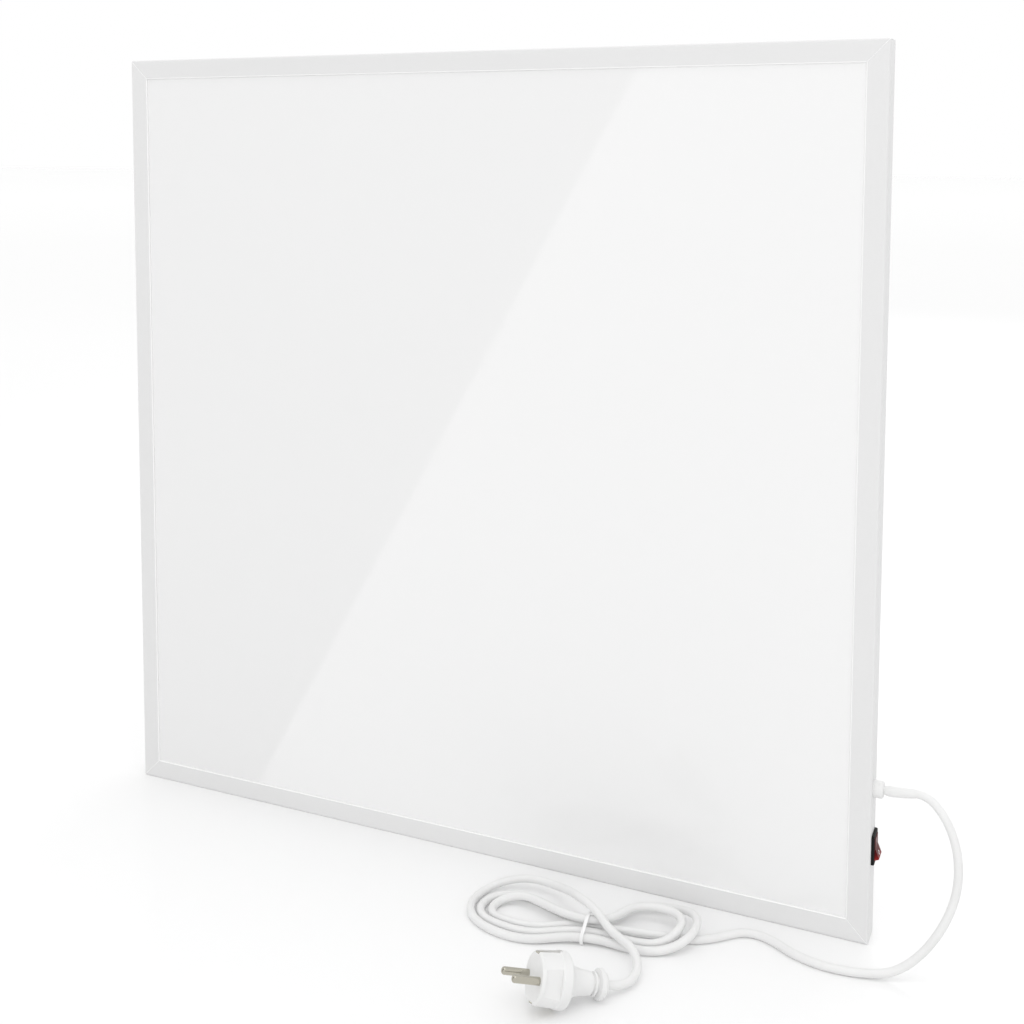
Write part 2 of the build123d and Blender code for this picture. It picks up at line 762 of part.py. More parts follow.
def wires(name, routes):
    """Insulated leads, each a round section swept along a bent route."""
    with BuildPart() as group:
        for route in routes:
            points = [Vector(*p) for p in route]
            with BuildLine() as path:
                FilletPolyline(*points, radius=corner_radii(points, wire_bend_r))
            with BuildSketch(Plane(origin=path.line @ 0, z_dir=path.line % 0)):
                Circle(wire_d / 2)
            sweep(path=path.line)
    write(group, name)


blade_end = half_w - switch_body_d - blade_l
wire_gap = wire_d / 2 + layer_gap
lead_y = y_cover - block_h * 0.35
block_right = block_x + block_w / 2
block_left = block_x - block_w / 2
tag_y = y_mat + cutout_h + 1.8
tag_right = cutout_x + cutout_r * 0.5 + blade_t / 2
tag_left = cutout_x - cutout_r * 0.5 - blade_t / 2
tab_wire_z = tab_z + wire_d / 2 + 0.4

wires(
    "live_wires",
    [
        [
            (inner_end, gland_y - 1.4, gland_z),
            (live_lane, gland_y - 1.4, gland_z),
            (live_lane, switch_y, gland_z - 20),
            (live_lane, switch_y, switch_z + blade_pitch),
            (blade_end, switch_y, switch_z + blade_pitch),
        ],
        [
            (blade_end, switch_y, switch_z),
            (switch_lane, switch_y, switch_z),
            (switch_lane, switch_y, switch_z + 24),
            (switch_lane, tag_y, gland_z + 6),
            (switch_lane, tag_y, cutout_z),
            (tag_right, tag_y, cutout_z),
        ],
        [
            (tag_left, tag_y, cutout_z),
            (heater_lane, tag_y, cutout_z),
            (heater_lane, tag_y, cutout_z - 10),
            (heater_lane, 1, gland_z - 8),
            (heater_lane, 1, tab_wire_z),
            (busbar_x, 1, tab_wire_z),
            (busbar_x, y_board, tab_wire_z),
        ],
    ],
)
wires(
    "neutral_wires",
    [
        [
            (inner_end, gland_y + 1.4, gland_z + 1),
            (neutral_lane, gland_y + 1.4, gland_z + 1),
            (neutral_lane, lead_y, block_z + 16),
            (neutral_lane, lead_y, block_z),
            (block_right, lead_y, block_z),
        ],
        [
            (block_left, lead_y, block_z - block_way),
            (return_lane, lead_y, block_z - block_way),
            (return_lane, lead_y, 24),
            (return_lane, 0, 15),
            (return_lane, 0, 6),
            (-busbar_x + 8, 0, 6),
            (-busbar_x, 0, tab_wire_z),
            (-busbar_x, y_board, tab_wire_z),
        ],
    ],
)
wires(
    "earth_wire",
    [
        [
            (inner_end, gland_y + 1.6, gland_z - 1.6),
            (earth_lane, gland_y + 1.6, gland_z - 1.6),
            (earth_lane, y_cover - 2, gland_z - 12),
            (earth_lane, y_cover - 2, earth_z + 26),
            (earth_x, lug_y - wire_d / 2, earth_z + 20),
            (earth_x, lug_y - wire_d / 2, earth_z + earth_lug_r + 2),
        ],
    ],
)

# ---------------------------------------------------------------------- cord
waist = Vector(waist_x, waist_y, 0)
floor_z = cord_r
waist_z = cord_r + tie_d + tie_lift
upper_z = waist_z + layer_rise
top_z = upper_z + layer_rise + tie_d


def lobe_frame(side):
    """Outward and far-side directions of the left (-1) or right (1) lobes."""
    turn = radians(left_turn if side < 0 else right_turn)
    out = Vector(cos(turn), sin(turn), 0)
    far = Vector(-sin(turn), cos(turn), 0) * side
    return out, far


def lobe_point(side, along, across, z):
    out, far = lobe_frame(side)
    return waist + out * along + far * across + Vector(0, 0, z)


def lobe_heading(side, along, across):
    out, far = lobe_frame(side)
    return (out * along + far * across).normalized()


def heading(turn):
    return Vector(cos(radians(turn)), sin(radians(turn)), 0)


waist_lean = -0.05
hank_start = Vector(211.5, -42, floor_z)
hank_start_dir = heading(224)
hank_end = Vector(153, -86.5, 10.4)
hank_end_dir = heading(-32)


def hank_knots():
    """Places and headings along the hank: three left lobes, two right lobes.

    Each lobe leaves the waist on its near side, widens, turns and comes back
    on its far side.  Each is wider than the one before by its own step.
    """
    far_heights = [floor_z + 5.2, floor_z, floor_z + 6.0]
    far_lean = [-0.35, -0.35, -0.18]
    knots = [
        (hank_start + hank_start_dir * cord_d, hank_start_dir),
        (Vector(185, -57.6, floor_z), heading(188)),
    ]
    for k in range(3):
        knots += [
            (lobe_point(-1, 0, waist_far - hank_step * k, waist_z), lobe_heading(-1, 1, -0.12 - 0.06 * k)),
            (lobe_point(-1, left_out, left_near[k], floor_z), lobe_heading(-1, 1, 0)),
            (lobe_point(-1, left_ends[k], (left_far[k] + left_near[k]) / 2, floor_z), lobe_heading(-1, 0, 1)),
            (lobe_point(-1, left_out, left_far[k], far_heights[k]), lobe_heading(-1, -1, far_lean[k])),
        ]
        if k == 2:
            break
        across = waist_far - hank_step / 2 if k == 0 else waist_far + hank_step
        over = upper_z if k == 0 else waist_z
        far_z = upper_z if k == 0 else floor_z + 2
        knots += [
            (lobe_point(1, 0, across, over), lobe_heading(1, 1, waist_lean)),
            (lobe_point(1, right_out, right_far[k], far_z), lobe_heading(1, 1, 0)),
            (lobe_point(1, right_ends[k], (right_far[k] + right_near[k]) / 2, upper_z), lobe_heading(1, 0, -1)),
            (lobe_point(1, right_out, right_near[k], floor_z), lobe_heading(1, -1, 0)),
        ]
    knots.append((waist + Vector(-2, -2, top_z), hank_end_dir))
    knots.append((hank_end - hank_end_dir * cord_d, hank_end_dir))
    return knots


def biarc(p0, t0, p1, t1):
    """Meeting point and heading of the two arcs that join two knots."""
    chord = p1 - p0
    both = t0 + t1
    spread = 2 * (1 - t0.dot(t1))
    if spread < 1e-9:
        reach = chord.dot(chord) / (4 * chord.dot(t1))
    else:
        root = sqrt(chord.dot(both) ** 2 + spread * chord.dot(chord))
        reach = (root - chord.dot(both)) / spread
    q0 = p0 + t0 * reach
    q1 = p1 - t1 * reach
    return (q0 + q1) * 0.5, (q1 - q0).normalized()


def tube(path):
    """Round cord section swept along a path."""
    with BuildPart() as cord:
        with BuildSketch(Plane(origin=path @ 0, z_dir=path % 0)):
            Circle(cord_r)
        sweep(path=path)
    return cord


def check_tube(cord, path, name):
    """Print the tube's volume against its section times its length."""
    ideal = 3.14159265 * cord_r**2 * path.length
    print(f"{name}: length {path.length:.1f}, volume ratio {cord.part.volume / ideal:.5f}")


def arc_radius(a, b, tangent):
    """Radius of the arc from a to b that leaves a along the tangent."""
    chord = b - a
    half_turn = radians(tangent.get_angle(chord))
    return chord.length / (2 * sin(max(half_turn, 1e-4)))


knots = hank_knots()
hank_radii = []
with BuildLine() as hank_line:
    Line(hank_start, knots[0][0])
    for (p0, t0), (p1, t1) in zip(knots[:-1], knots[1:]):
        joint, joint_dir = biarc(p0, t0, p1, t1)
        TangentArc(p0, joint, tangent=t0)
        TangentArc(joint, p1, tangent=joint_dir)
        hank_radii += [arc_radius(p0, joint, t0), arc_radius(joint, p1, joint_dir)]
    Line(knots[-1][0], hank_end)
hank_path = Wire(hank_line.edges())
cord_hank = tube(hank_path)
check_tube(cord_hank, hank_path, "hank")
write(cord_hank, "cord_hank")


def least_self_gap(path, apart=3.0):
    """Smallest clear distance between two stretches of the same cord."""
    count = int(path.length / 2)
    points = [path @ (k / count) for k in range(count + 1)]
    skip = int(apart * cord_d / 2)
    least = 1e9
    for i, a in enumerate(points):
        for b in points[i + skip :]:
            gap = (a - b).length
            least = min(least, gap)
    return least - cord_d


print("hank arc radii", [round(r) for r in hank_radii])
print(f"hank least gap to itself {least_self_gap(hank_path):.2f}")

# the plug rests on its rear rim and its collar; its axis runs from the pins to the cord
yaw = radians(plug_yaw)
dip = atan2(plug_r - plug_collar_r, plug_l - plug_collar_edge - plug_body_l)
plug_axis = Vector(cos(yaw) * cos(dip), sin(yaw) * cos(dip), -sin(dip))
plug_z = plug_r * cos(dip) + plug_body_l * sin(dip)
plug_root = Vector(plug_x, plug_y, plug_z)
plug_end = plug_root + plug_axis * plug_l
level = Vector(-sin(yaw), cos(yaw), 0)
upright = plug_axis.cross(level)
roll = radians(plug_roll)
pin_line = level * cos(roll) - upright * sin(roll)
plug_face = Plane(origin=plug_root, x_dir=pin_line, z_dir=-plug_axis)

# free stretches of the cord: corner points chosen along its shown route
lead_points = [
    (half_w + gland_out, gland_y, gland_z),
    (317, 0, gland_z),
    (334, -3, 108.5),
    (348.5, -10, 97),
    (357, -17.5, 77),
    (356.5, -25, 52),
    (344, -34, 25.5),
    (324, -41, 5.2),
    (302.5, -47.5, 2.8),
    (279, -50, 2.8),
    (257.5, -44.8, 2.8),
    (244, -36, 2.8),
    (230.5, -31.5, 2.8),
    hank_start - hank_start_dir * 11.3,
    hank_start,
]
tail_points = [
    hank_end,
    hank_end + hank_end_dir * 9.5,
    (168.5, -99.5, 7.6),
    (171.3, -108.5, 5.6),
    (170.3, -118, 4.6),
    plug_end + plug_axis * 9.5,
    plug_end,
]


def free_stretch(points, name):
    """Tube whose every corner takes the largest arc that its two runs allow."""
    points = [Vector(*p) if isinstance(p, tuple) else p for p in points]
    radii = corner_radii(points)
    print(name, "radii", [round(r, 1) for r in radii])
    with BuildLine() as line:
        FilletPolyline(*points, radius=radii)
    path = Wire(line.edges())
    cord = tube(path)
    check_tube(cord, path, name)
    write(cord, name)
    return path


free_stretch(lead_points, "cord_lead")
free_stretch(tail_points, "cord_tail")

# thin tie round the five strands of the waist
tie_x = waist_x
low_y = waist_y + waist_far - 2 * hank_step
high_y = waist_y + waist_far + hank_step
pad = cord_r + tie_d / 2 + tie_lift
with BuildLine() as tie_line:
    FilletPolyline(
        (tie_x, low_y - pad, waist_z - pad),
        (tie_x, high_y + pad, waist_z - pad),
        (tie_x, high_y + pad, waist_z + pad * 0.6),
        (tie_x, waist_y + waist_far - hank_step / 2 + pad * 0.75, upper_z + pad),
        (tie_x, waist_y + waist_far - hank_step / 2 - pad * 0.75, upper_z + pad),
        (tie_x, low_y - pad, waist_z + pad * 0.6),
        radius=1.6,
        close=True,
    )
with BuildPart() as cord_tie:
    with BuildSketch(Plane(origin=tie_line.line @ 0, z_dir=tie_line.line % 0)):
        Circle(tie_d / 2)
    sweep(path=tie_line.line)
write(cord_tie, "cord_tie")

# ---------------------------------------------------------------------- plug
plug_section = Plane(origin=plug_root, x_dir=pin_line, z_dir=pin_line.cross(plug_axis))
with BuildPart() as plug_body:
    # local x is the radius, local y runs from the face towards the cord
    with BuildSketch(plug_section):
        with BuildLine():
            Polyline(
                (0, 0),
                (plug_face_r - 0.8, 0),
                (plug_face_r, 0.8),
                (plug_r - 0.6, plug_body_l - plug_rim_l),
                (plug_r, plug_body_l - plug_rim_l + 0.8),
            )
            Line((plug_r, plug_body_l - plug_rim_l + 0.8), (plug_r, plug_body_l))
            TangentArc((plug_r, plug_body_l), (plug_r - 3.2, plug_body_l + 2.6), tangent=(0, 1))
            Spline(
                (plug_r - 3.2, plug_body_l + 2.6),
                (plug_neck_r + 2.6, plug_body_l + 6.4),
                (plug_neck_r, plug_neck_end),
                tangents=((-1, 0.35), (-0.1, 1)),
            )
            Polyline(
                (plug_neck_r, plug_neck_end),
                (plug_neck_r - 1.5, plug_neck_end + 0.5),
                (plug_neck_r - 1.5, plug_neck_end + 1.7),
                (plug_neck_r, plug_neck_end + 2.0),
                (plug_neck_r + 0.2, plug_neck_end + 3.0),
                (plug_neck_r - 1.3, plug_neck_end + 3.4),
                (plug_neck_r - 1.3, plug_neck_end + 4.6),
                (plug_collar_r, plug_neck_end + 5.4),
                (plug_collar_r, plug_l - plug_collar_edge),
                (plug_collar_r - 2.0, plug_l),
                (0, plug_l),
                (0, 0),
            )
        make_face()
    revolve(axis=Axis(plug_root, plug_axis))
    # flats for the fingers, between the face and the rear rim
    for side in (-1, 1):
        with BuildSketch(plug_face.offset(-2.5)):
            with Locations((side * (plug_flat + 5), 0)):
                Rectangle(10, 1.2 * plug_r)
        extrude(amount=-(plug_body_l - plug_rim_l - 2.5), mode=Mode.SUBTRACT)
    # grooves for the two earth clips
    for side in (-1, 1):
        with BuildSketch(plug_face):
            with Locations((0, side * (plug_face_r - clip_depth + 5))):
                Rectangle(clip_w + 2 * slot_side, 10)
        extrude(amount=-clip_l, mode=Mode.SUBTRACT)
    with BuildSketch(plug_face):
        with Locations((-pin_gap / 2, 0), (pin_gap / 2, 0)):
            Circle(pin_r + hole_clearance)
    extrude(amount=-6.0, mode=Mode.SUBTRACT)
write(plug_body, "plug_body")

with BuildPart() as plug_pins:
    for side in (-1, 1):
        with BuildSketch(plug_face.offset(-6.0)):
            with Locations((side * pin_gap / 2, 0)):
                Circle(pin_r)
        extrude(amount=pin_l + 6.0)
    tips = plug_pins.edges().filter_by(GeomType.CIRCLE).sort_by(Axis(plug_root, -plug_axis))[-2:]
    fillet(tips, pin_r * 0.8)
write(plug_pins, "plug_pins")

with BuildPart() as earth_clips:
    for side in (-1, 1):
        with BuildSketch(plug_face):
            with Locations((0, side * (plug_face_r - clip_depth + clip_t / 2))):
                Rectangle(clip_w, clip_t)
        extrude(amount=-clip_l + 0.2)
write(earth_clips, "plug_earth_clips")

print(f"panel depth {panel_d:.2f}, rocker pivot ({pivot_x:.2f}, {switch_y:.2f}, {switch_z:.2f})")
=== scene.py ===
from math import cos, pi, radians, sin

import bmesh
import bpy
import numpy as np
from bpy.props import FloatProperty, FloatVectorProperty, PointerProperty
from mathutils import Matrix


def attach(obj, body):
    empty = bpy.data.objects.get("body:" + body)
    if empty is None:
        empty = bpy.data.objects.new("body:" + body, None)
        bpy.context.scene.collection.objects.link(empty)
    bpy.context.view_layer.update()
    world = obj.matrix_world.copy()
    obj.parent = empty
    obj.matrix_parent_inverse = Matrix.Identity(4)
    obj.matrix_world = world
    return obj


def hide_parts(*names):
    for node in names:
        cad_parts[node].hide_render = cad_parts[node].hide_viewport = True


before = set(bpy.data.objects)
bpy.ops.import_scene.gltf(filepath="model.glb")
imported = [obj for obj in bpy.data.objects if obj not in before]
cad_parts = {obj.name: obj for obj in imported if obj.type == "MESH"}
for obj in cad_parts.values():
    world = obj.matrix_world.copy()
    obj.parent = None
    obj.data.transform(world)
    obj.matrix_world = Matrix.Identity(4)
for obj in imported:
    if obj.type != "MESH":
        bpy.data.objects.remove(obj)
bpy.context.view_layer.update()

bl_info = {
    "name": "Infrared panel heater",
    "version": (1, 0, 0),
    "blender": (4, 5, 0),
    "location": "View3D > Sidebar > Heater",
    "description": "Finishes a framed glass panel heater with its switch, cord and plug",
    "category": "Object",
}

MM = 0.001

# The camera's solved lens and place; the photograph's optical axis is above its middle.
LENS_PX = 1337.376
IMAGE_PX = 1024
SENSOR_MM = 36.0
AXIS_PX = (512.0, 260.0)
CAMERA_PLACE = (0.42593, -0.90691, 0.22752)
CAMERA_YAW = radians(-23.824)
CAMERA_PITCH = radians(-4.632)
CAMERA_ROLL = radians(0.186)

# Middle of the panel's lower edge, half way through its depth, from the wall fixings.
# The route, the switch and the floor are placed from it.
FOOT = np.array([0.0, -0.020, -0.300])
CORD_D = 0.0056

# How far the thin lip beside the glass reaches, out from the middle of the fixings, and the
# front of the glass.
LIP_OUT = 0.2855
GLASS_Y = -0.0283
# Two places on the glass where the edge of the darker reflection crosses it, x and z.
SHEEN_TOP = (0.1310, 0.2842)
SHEEN_FOOT = (-0.1827, -0.2798)
# Heights between which the rocker's painted glow fades from bright to dark, from the wall fixings.
GLOW_Z = (-0.2460, -0.2380)

# The stage: the world's light and half the floor's width. The grey card is as far from the
# mirrored eye as the glass is, times CARD_OUT, and runs on past the sheen's foot and top.
WORLD_LIGHT = 0.94
FLOOR_REACH = 30.0
CARD_OUT = 1.5
CARD_WIDTH = 0.62
CARD_RUN_ON = (0.15, 0.05)
# Each lamp's name, place, target, size in metres, power in watts, and whether mirrors show it.
LAMPS = (
    ("lamp_front", (0.3, -2.8, 0.9), (0.05, 0, -0.15), 2.2, 12, False),
    ("lamp_top", (0.6, -0.6, 2.9), (0, 0, -0.1), 2.4, 14, True),
    ("lamp_back", (0.4, 2.8, 1.5), (0, 0, 0), 2.0, 9, True),
)


def unit(vector):
    """A vector, or each row of an array, divided by its own length."""
    vector = np.asarray(vector, float)
    return vector / np.linalg.norm(vector, axis=-1, keepdims=True)


def heading(turn):
    """Level direction at an angle in degrees from +X towards +Y."""
    return np.array([cos(radians(turn)), sin(radians(turn)), 0.0])


# ------------------------------------------------------------------ settings
class HeaterSizes(bpy.types.PropertyGroup):
    cord_diameter: FloatProperty(
        name="Cord diameter", description="Across the vinyl jacket",
        default=CORD_D, min=0.004, max=0.009, unit="LENGTH",
    )
    relief_length: FloatProperty(
        name="Strain relief", description="Tapered sleeve beyond the gland",
        default=0.024, min=0.02, max=0.06, unit="LENGTH",
    )
    mark_height: FloatProperty(
        name="Switch marks", description="Height of the on and off marks",
        default=0.0028, min=0.001, max=0.005, unit="LENGTH",
    )
    coat_grain: FloatProperty(
        name="Coat grain", description="Depth of the powder coat's texture",
        default=0.00004, min=0.0, max=0.001, unit="LENGTH",
    )


class HeaterColours(bpy.types.PropertyGroup):
    frame_white: FloatVectorProperty(
        name="Frame", description="Powder coat of the frame",
        default=(0.78, 0.78, 0.78), min=0, max=1, subtype="COLOR",
    )
    glass_white: FloatVectorProperty(
        name="Glass", description="White printed behind the front glass",
        default=(0.875, 0.875, 0.875), min=0, max=1, subtype="COLOR",
    )
    cord_white: FloatVectorProperty(
        name="Cord", description="Vinyl of the cord and the plug",
        default=(0.83, 0.83, 0.826), min=0, max=1, subtype="COLOR",
    )
    rocker_red: FloatVectorProperty(
        name="Rocker", description="Translucent rocker",
        default=(0.10, 0.004, 0.005), min=0, max=1, subtype="COLOR",
    )


# ------------------------------------------------------------- shader sockets
class Value:
    """One socket of a shader; Python operators on it add its Math nodes."""

    def __init__(self, recipe, socket):
        self.recipe = recipe
        self.socket = socket

    def __add__(self, other):
        return self.recipe.math("ADD", self, other)

    __radd__ = __add__

    def __sub__(self, other):
        return self.recipe.math("SUBTRACT", self, other)

    def __rsub__(self, other):
        return self.recipe.math("SUBTRACT", other, self)

    def __mul__(self, other):
        return self.recipe.math("MULTIPLY", self, other)

    __rmul__ = __mul__

    def size(self):
        """The value without its sign."""
        return self.recipe.math("ABSOLUTE", self)

    def step(self, low, high):
        """0 below low, 1 above high, smooth between."""
        return self.recipe.value(
            "ShaderNodeMapRange",
            {"interpolation_type": "SMOOTHSTEP"},
            {"Value": self, "From Min": low, "From Max": high},
        )


class Recipe:
    """One material's node tree, filled through node(), value() and what uses them."""

    def __init__(self, name):
        self.material = bpy.data.materials.new(name)
        self.material.use_nodes = True
        self.tree = self.material.node_tree
        self.tree.nodes.clear()
        self.out = self.node("ShaderNodeOutputMaterial")
        self.place = self.value("ShaderNodeTexCoord", output="Object")

    def node(self, kind, settings=None, inputs=None):
        node = self.tree.nodes.new(kind)
        for key, setting in (settings or {}).items():
            setattr(node, key, setting)
        for key, given in (inputs or {}).items():
            if isinstance(given, Value):
                self.tree.links.new(given.socket, node.inputs[key])
            else:
                node.inputs[key].default_value = given
        return node

    def value(self, kind, settings=None, inputs=None, output=0):
        return Value(self, self.node(kind, settings, inputs).outputs[output])

    def math(self, operation, *inputs):
        return self.value("ShaderNodeMath", {"operation": operation}, dict(enumerate(inputs)))

    def stretched(self, scale):
        """Object coordinates scaled along their axes."""
        return self.value("ShaderNodeMapping", None, {"Vector": self.place, "Scale": scale})

    def noise(self, scale, detail=2.0, rough=0.5, place=None):
        return self.value(
            "ShaderNodeTexNoise", None,
            {"Vector": place or self.place, "Scale": scale, "Detail": detail, "Roughness": rough},
        )

    def axis(self, letter):
        return self.value("ShaderNodeSeparateXYZ", None, {0: self.place}, output=letter)

    def mix(self, mask, first, second):
        """Colour from first to second as the mask goes from 0 to 1."""
        sockets = {0: mask, 6: first, 7: second}
        return self.value("ShaderNodeMix", {"data_type": "RGBA"}, sockets, output=2)

    def bump(self, height, distance):
        sockets = {"Height": height, "Distance": distance, "Strength": 1.0}
        return self.value("ShaderNodeBump", None, sockets, output="Normal")

    def principled(self, **sockets):
        """Finish with the main shader; underscores in names stand for spaces."""
        names = {key.replace("_", " "): given for key, given in sockets.items()}
        shader = self.value("ShaderNodeBsdfPrincipled", None, names)
        self.tree.links.new(shader.socket, self.out.inputs["Surface"])
        return self.material


def shade(colour, factor=1.0):
    """Four-number colour, made lighter or darker by a factor."""
    return (colour[0] * factor, colour[1] * factor, colour[2] * factor, 1.0)


# ------------------------------------------------------------------ finishes
# Off the middle of a mitre's hairline, where it begins to fade and where it ends; its depth in depths
# of the grain;
# how far the painted highlight on the lip fades out; and the colour of the painted highlight on both,
# for the light their edges catch.
HAIRLINE = (0.00015, 0.0005)
HAIRLINE_DEPTH = 3.0
HIGHLIGHT_FADE = 0.0003
PAINTED_HIGHLIGHT = (0.96, 0.96, 0.96, 1)
# The colour of the painted glow at the rocker's bright lower end.
PAINTED_GLOW_END = (0.42, 0.022, 0.018, 1)


def powder_coat(name, colour, grain, mitred=False):
    """Satin powder coat: fine orange peel over a faint unevenness of tone.

    On mitred members the hairline joints, where x and z are alike, are sunk, and a painted
    highlight lightens them and the thin lip beside the glass, for the light their edges catch.
    """
    r = Recipe(name)
    peel = r.noise(620, 3.0) * 0.7 + r.noise(2400, 2.0) * 0.3
    tone = r.noise(7, 3.0)
    paint = r.mix(tone, shade(colour, 0.985), shade(colour, 1.01))
    rough = 0.40 + 0.12 * r.noise(45, 3.0)
    height = peel
    if mitred:
        across, upright = r.axis("X").size(), r.axis("Z").size()
        # Painted highlight: the masks below lighten the paint along the mitre joints and the lip beside
        # the glass; the joints' groove is sunk for real.
        mitre = 1.0 - (across - upright).size().step(*HAIRLINE)
        lip = 1.0 - r.math("MAXIMUM", across, upright).step(LIP_OUT, LIP_OUT + HIGHLIGHT_FADE)
        paint = r.mix(r.math("MAXIMUM", lip, mitre), paint, PAINTED_HIGHLIGHT)
        height = peel - mitre * HAIRLINE_DEPTH
    return r.principled(
        Base_Color=paint,
        Roughness=rough,
        Normal=r.bump(height, grain),
        Specular_IOR_Level=0.4,
    )


def panel_glass(name, colour):
    """Toughened glass with a white print behind it, and the slight wave of float glass."""
    r = Recipe(name)
    wave = r.noise(5, 1.0, place=r.stretched((1, 1, 0.4)))
    smears = r.noise(28, 4.0, 0.6)
    return r.principled(
        Base_Color=r.mix(r.noise(3, 2.0), shade(colour, 0.995), shade(colour, 1.005)),
        Roughness=0.025 + 0.03 * smears,
        Normal=r.bump(wave, 0.00006),
        IOR=1.52,
    )


def vinyl(name, colour, grain=0.00003):
    """Soft white vinyl: fine matt grain and a faint rubbed tone."""
    r = Recipe(name)
    rubbed = r.noise(60, 4.0, 0.6)
    return r.principled(
        Base_Color=r.mix(rubbed.step(0.35, 0.75), shade(colour), shade(colour, 0.97)),
        Roughness=0.36 + 0.14 * rubbed,
        Normal=r.bump(r.noise(1900, 3.0), grain),
        Subsurface_Weight=0.06,
        Subsurface_Radius=(0.003, 0.003, 0.003),
        Subsurface_Scale=0.3,
    )


def moulded(name, colour, roughness=0.5, grain=0.00005, scale=1500, gloss=0.5):
    """Moulded plastic with the fine texture of its tool."""
    r = Recipe(name)
    skin = r.noise(scale, 3.0, 0.6)
    return r.principled(
        Base_Color=r.mix(r.noise(90, 3.0), shade(colour, 0.94), shade(colour, 1.04)),
        Roughness=roughness + 0.1 * skin,
        Normal=r.bump(skin, grain),
        Specular_IOR_Level=gloss,
    )


def lit_red(name, colour):
    """Deep red plastic of a lit rocker, with a painted glow that makes its lower end brighter."""
    r = Recipe(name)
    # Painted glow: the base colour turns brighter towards the rocker's lower end.
    painted_glow = 1.0 - r.axis("Z").step(*GLOW_Z)
    streaks = r.noise(420, 2.0, place=r.stretched((1, 1, 0.3)))
    body = r.mix(streaks, shade(colour, 0.8), shade(colour, 1.1))
    return r.principled(
        Base_Color=r.mix(painted_glow, body, PAINTED_GLOW_END),
        Roughness=0.34 + 0.1 * streaks,
        Normal=r.bump(streaks, 0.00003),
        Specular_IOR_Level=0.12,
    )


def metal(name, colour, roughness, stretch=(1, 1, 1), scale=900):
    """Bare or plated metal with drawn or rolled marks along its long way."""
    r = Recipe(name)
    marks = r.noise(scale, 4.0, 0.6, place=r.stretched(stretch))
    dull = r.noise(130, 3.0)
    return r.principled(
        Base_Color=r.mix(dull, shade(colour, 0.93), shade(colour, 1.0)),
        Metallic=1.0,
        Roughness=roughness + 0.14 * marks,
        Normal=r.bump(marks, 0.00002),
    )


def wool(name, colour):
    """Pressed mineral wool: tangled fibres."""
    r = Recipe(name)
    fibres = r.noise(500, 6.0, 0.75, place=r.stretched((1, 3, 0.35)))
    return r.principled(
        Base_Color=r.mix(fibres, shade(colour, 0.8), shade(colour, 1.08)),
        Roughness=0.92,
        Normal=r.bump(fibres, 0.0006),
        Sheen_Weight=0.2,
    )


def striped_wire(name, first, second):
    """Wire insulation in two colours, with stripes that run along an upright wire."""
    r = Recipe(name)
    stripe = r.math("SINE", (r.axis("X") + r.axis("Y")) * 2400)
    return r.principled(
        Base_Color=r.mix(stripe.step(0.1, 0.3), shade(first), shade(second)),
        Roughness=0.34 + 0.1 * r.noise(300),
    )


def ink(name, colour):
    """Printed carbon: speckled, with a faint edge to each printed dot."""
    r = Recipe(name)
    dots = r.noise(3000, 2.0)
    return r.principled(
        Base_Color=r.mix(dots, shade(colour, 0.7), shade(colour, 1.6)),
        Roughness=0.55 + 0.2 * dots,
        Normal=r.bump(dots, 0.00002),
    )


def dress(material, *nodes):
    """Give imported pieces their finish."""
    for name in nodes:
        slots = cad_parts[name].data.materials
        slots.clear()
        slots.append(material)


# --------------------------------------------------------------- mesh helpers
def grid_faces(rows, columns, close_rows=False, close_columns=False):
    """Four-sided faces over a grid of points numbered row by row."""
    i = np.arange(rows if close_rows else rows - 1)
    j = np.arange(columns if close_columns else columns - 1)
    i, j = (a.ravel() for a in np.meshgrid(i, j, indexing="ij"))
    i2, j2 = (i + 1) % rows, (j + 1) % columns
    return np.stack([i * columns + j, i * columns + j2, i2 * columns + j2, i2 * columns + j], axis=1)


def new_object(name, data):
    """An object with the given data, in the scene's own collection."""
    piece = bpy.data.objects.new(name, data)
    bpy.context.scene.collection.objects.link(piece)
    return piece


def outward(piece):
    """Turn a piece's faces outwards."""
    work = bmesh.new()
    work.from_mesh(piece.data)
    bmesh.ops.recalc_face_normals(work, faces=work.faces)
    work.to_mesh(piece.data)
    work.free()


def add_piece(name, shape, material, body="heater", smooth=True):
    """A mesh of points and faces that rides on one body and takes one finish."""
    points, faces = shape
    mesh = bpy.data.meshes.new(name)
    mesh.from_pydata(points.tolist(), [], [tuple(face) for face in faces])
    mesh.update()
    if smooth:
        mesh.shade_smooth()
    else:
        mesh.shade_flat()
    mesh.materials.append(material)
    piece = new_object(name, mesh)
    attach(piece, body)
    outward(piece)
    return piece


def carried(path, radii, sides, reference):
    """A circle carried along a path: path + radius (cos a * side + sin a * up).

    side is the path's direction crossed with a fixed reference, so the rings
    don't turn about the path.
    """
    along = unit(np.gradient(path, axis=0))
    side = unit(np.cross(along, reference))
    up = np.cross(side, along)
    angle = np.linspace(0, 2 * pi, sides, endpoint=False)[None, :, None]
    ring = side[:, None, :] * np.cos(angle) + up[:, None, :] * np.sin(angle)
    return (path[:, None, :] + ring * np.asarray(radii)[:, None, None]).reshape(-1, 3)


# ---------------------------------------------------------------- cord route
# Control points from the gland down to the tied bundle, in metres from the panel's foot.
LEAD = [
    (0.3065, 0, 0.1043),
    (0.317, 0, 0.1043),
    (0.334, -0.003, 0.1085),
    (0.3485, -0.010, 0.097),
    (0.357, -0.0175, 0.077),
    (0.3565, -0.025, 0.052),
    (0.344, -0.034, 0.0255),
    (0.324, -0.041, 0.0052),
    (0.3025, -0.0475, 0.0028),
    (0.279, -0.050, 0.0028),
    (0.2575, -0.0448, 0.0028),
    (0.244, -0.036, 0.0028),
    (0.2305, -0.0315, 0.0028),
    (0.21963, -0.03415, 0.0028),
]
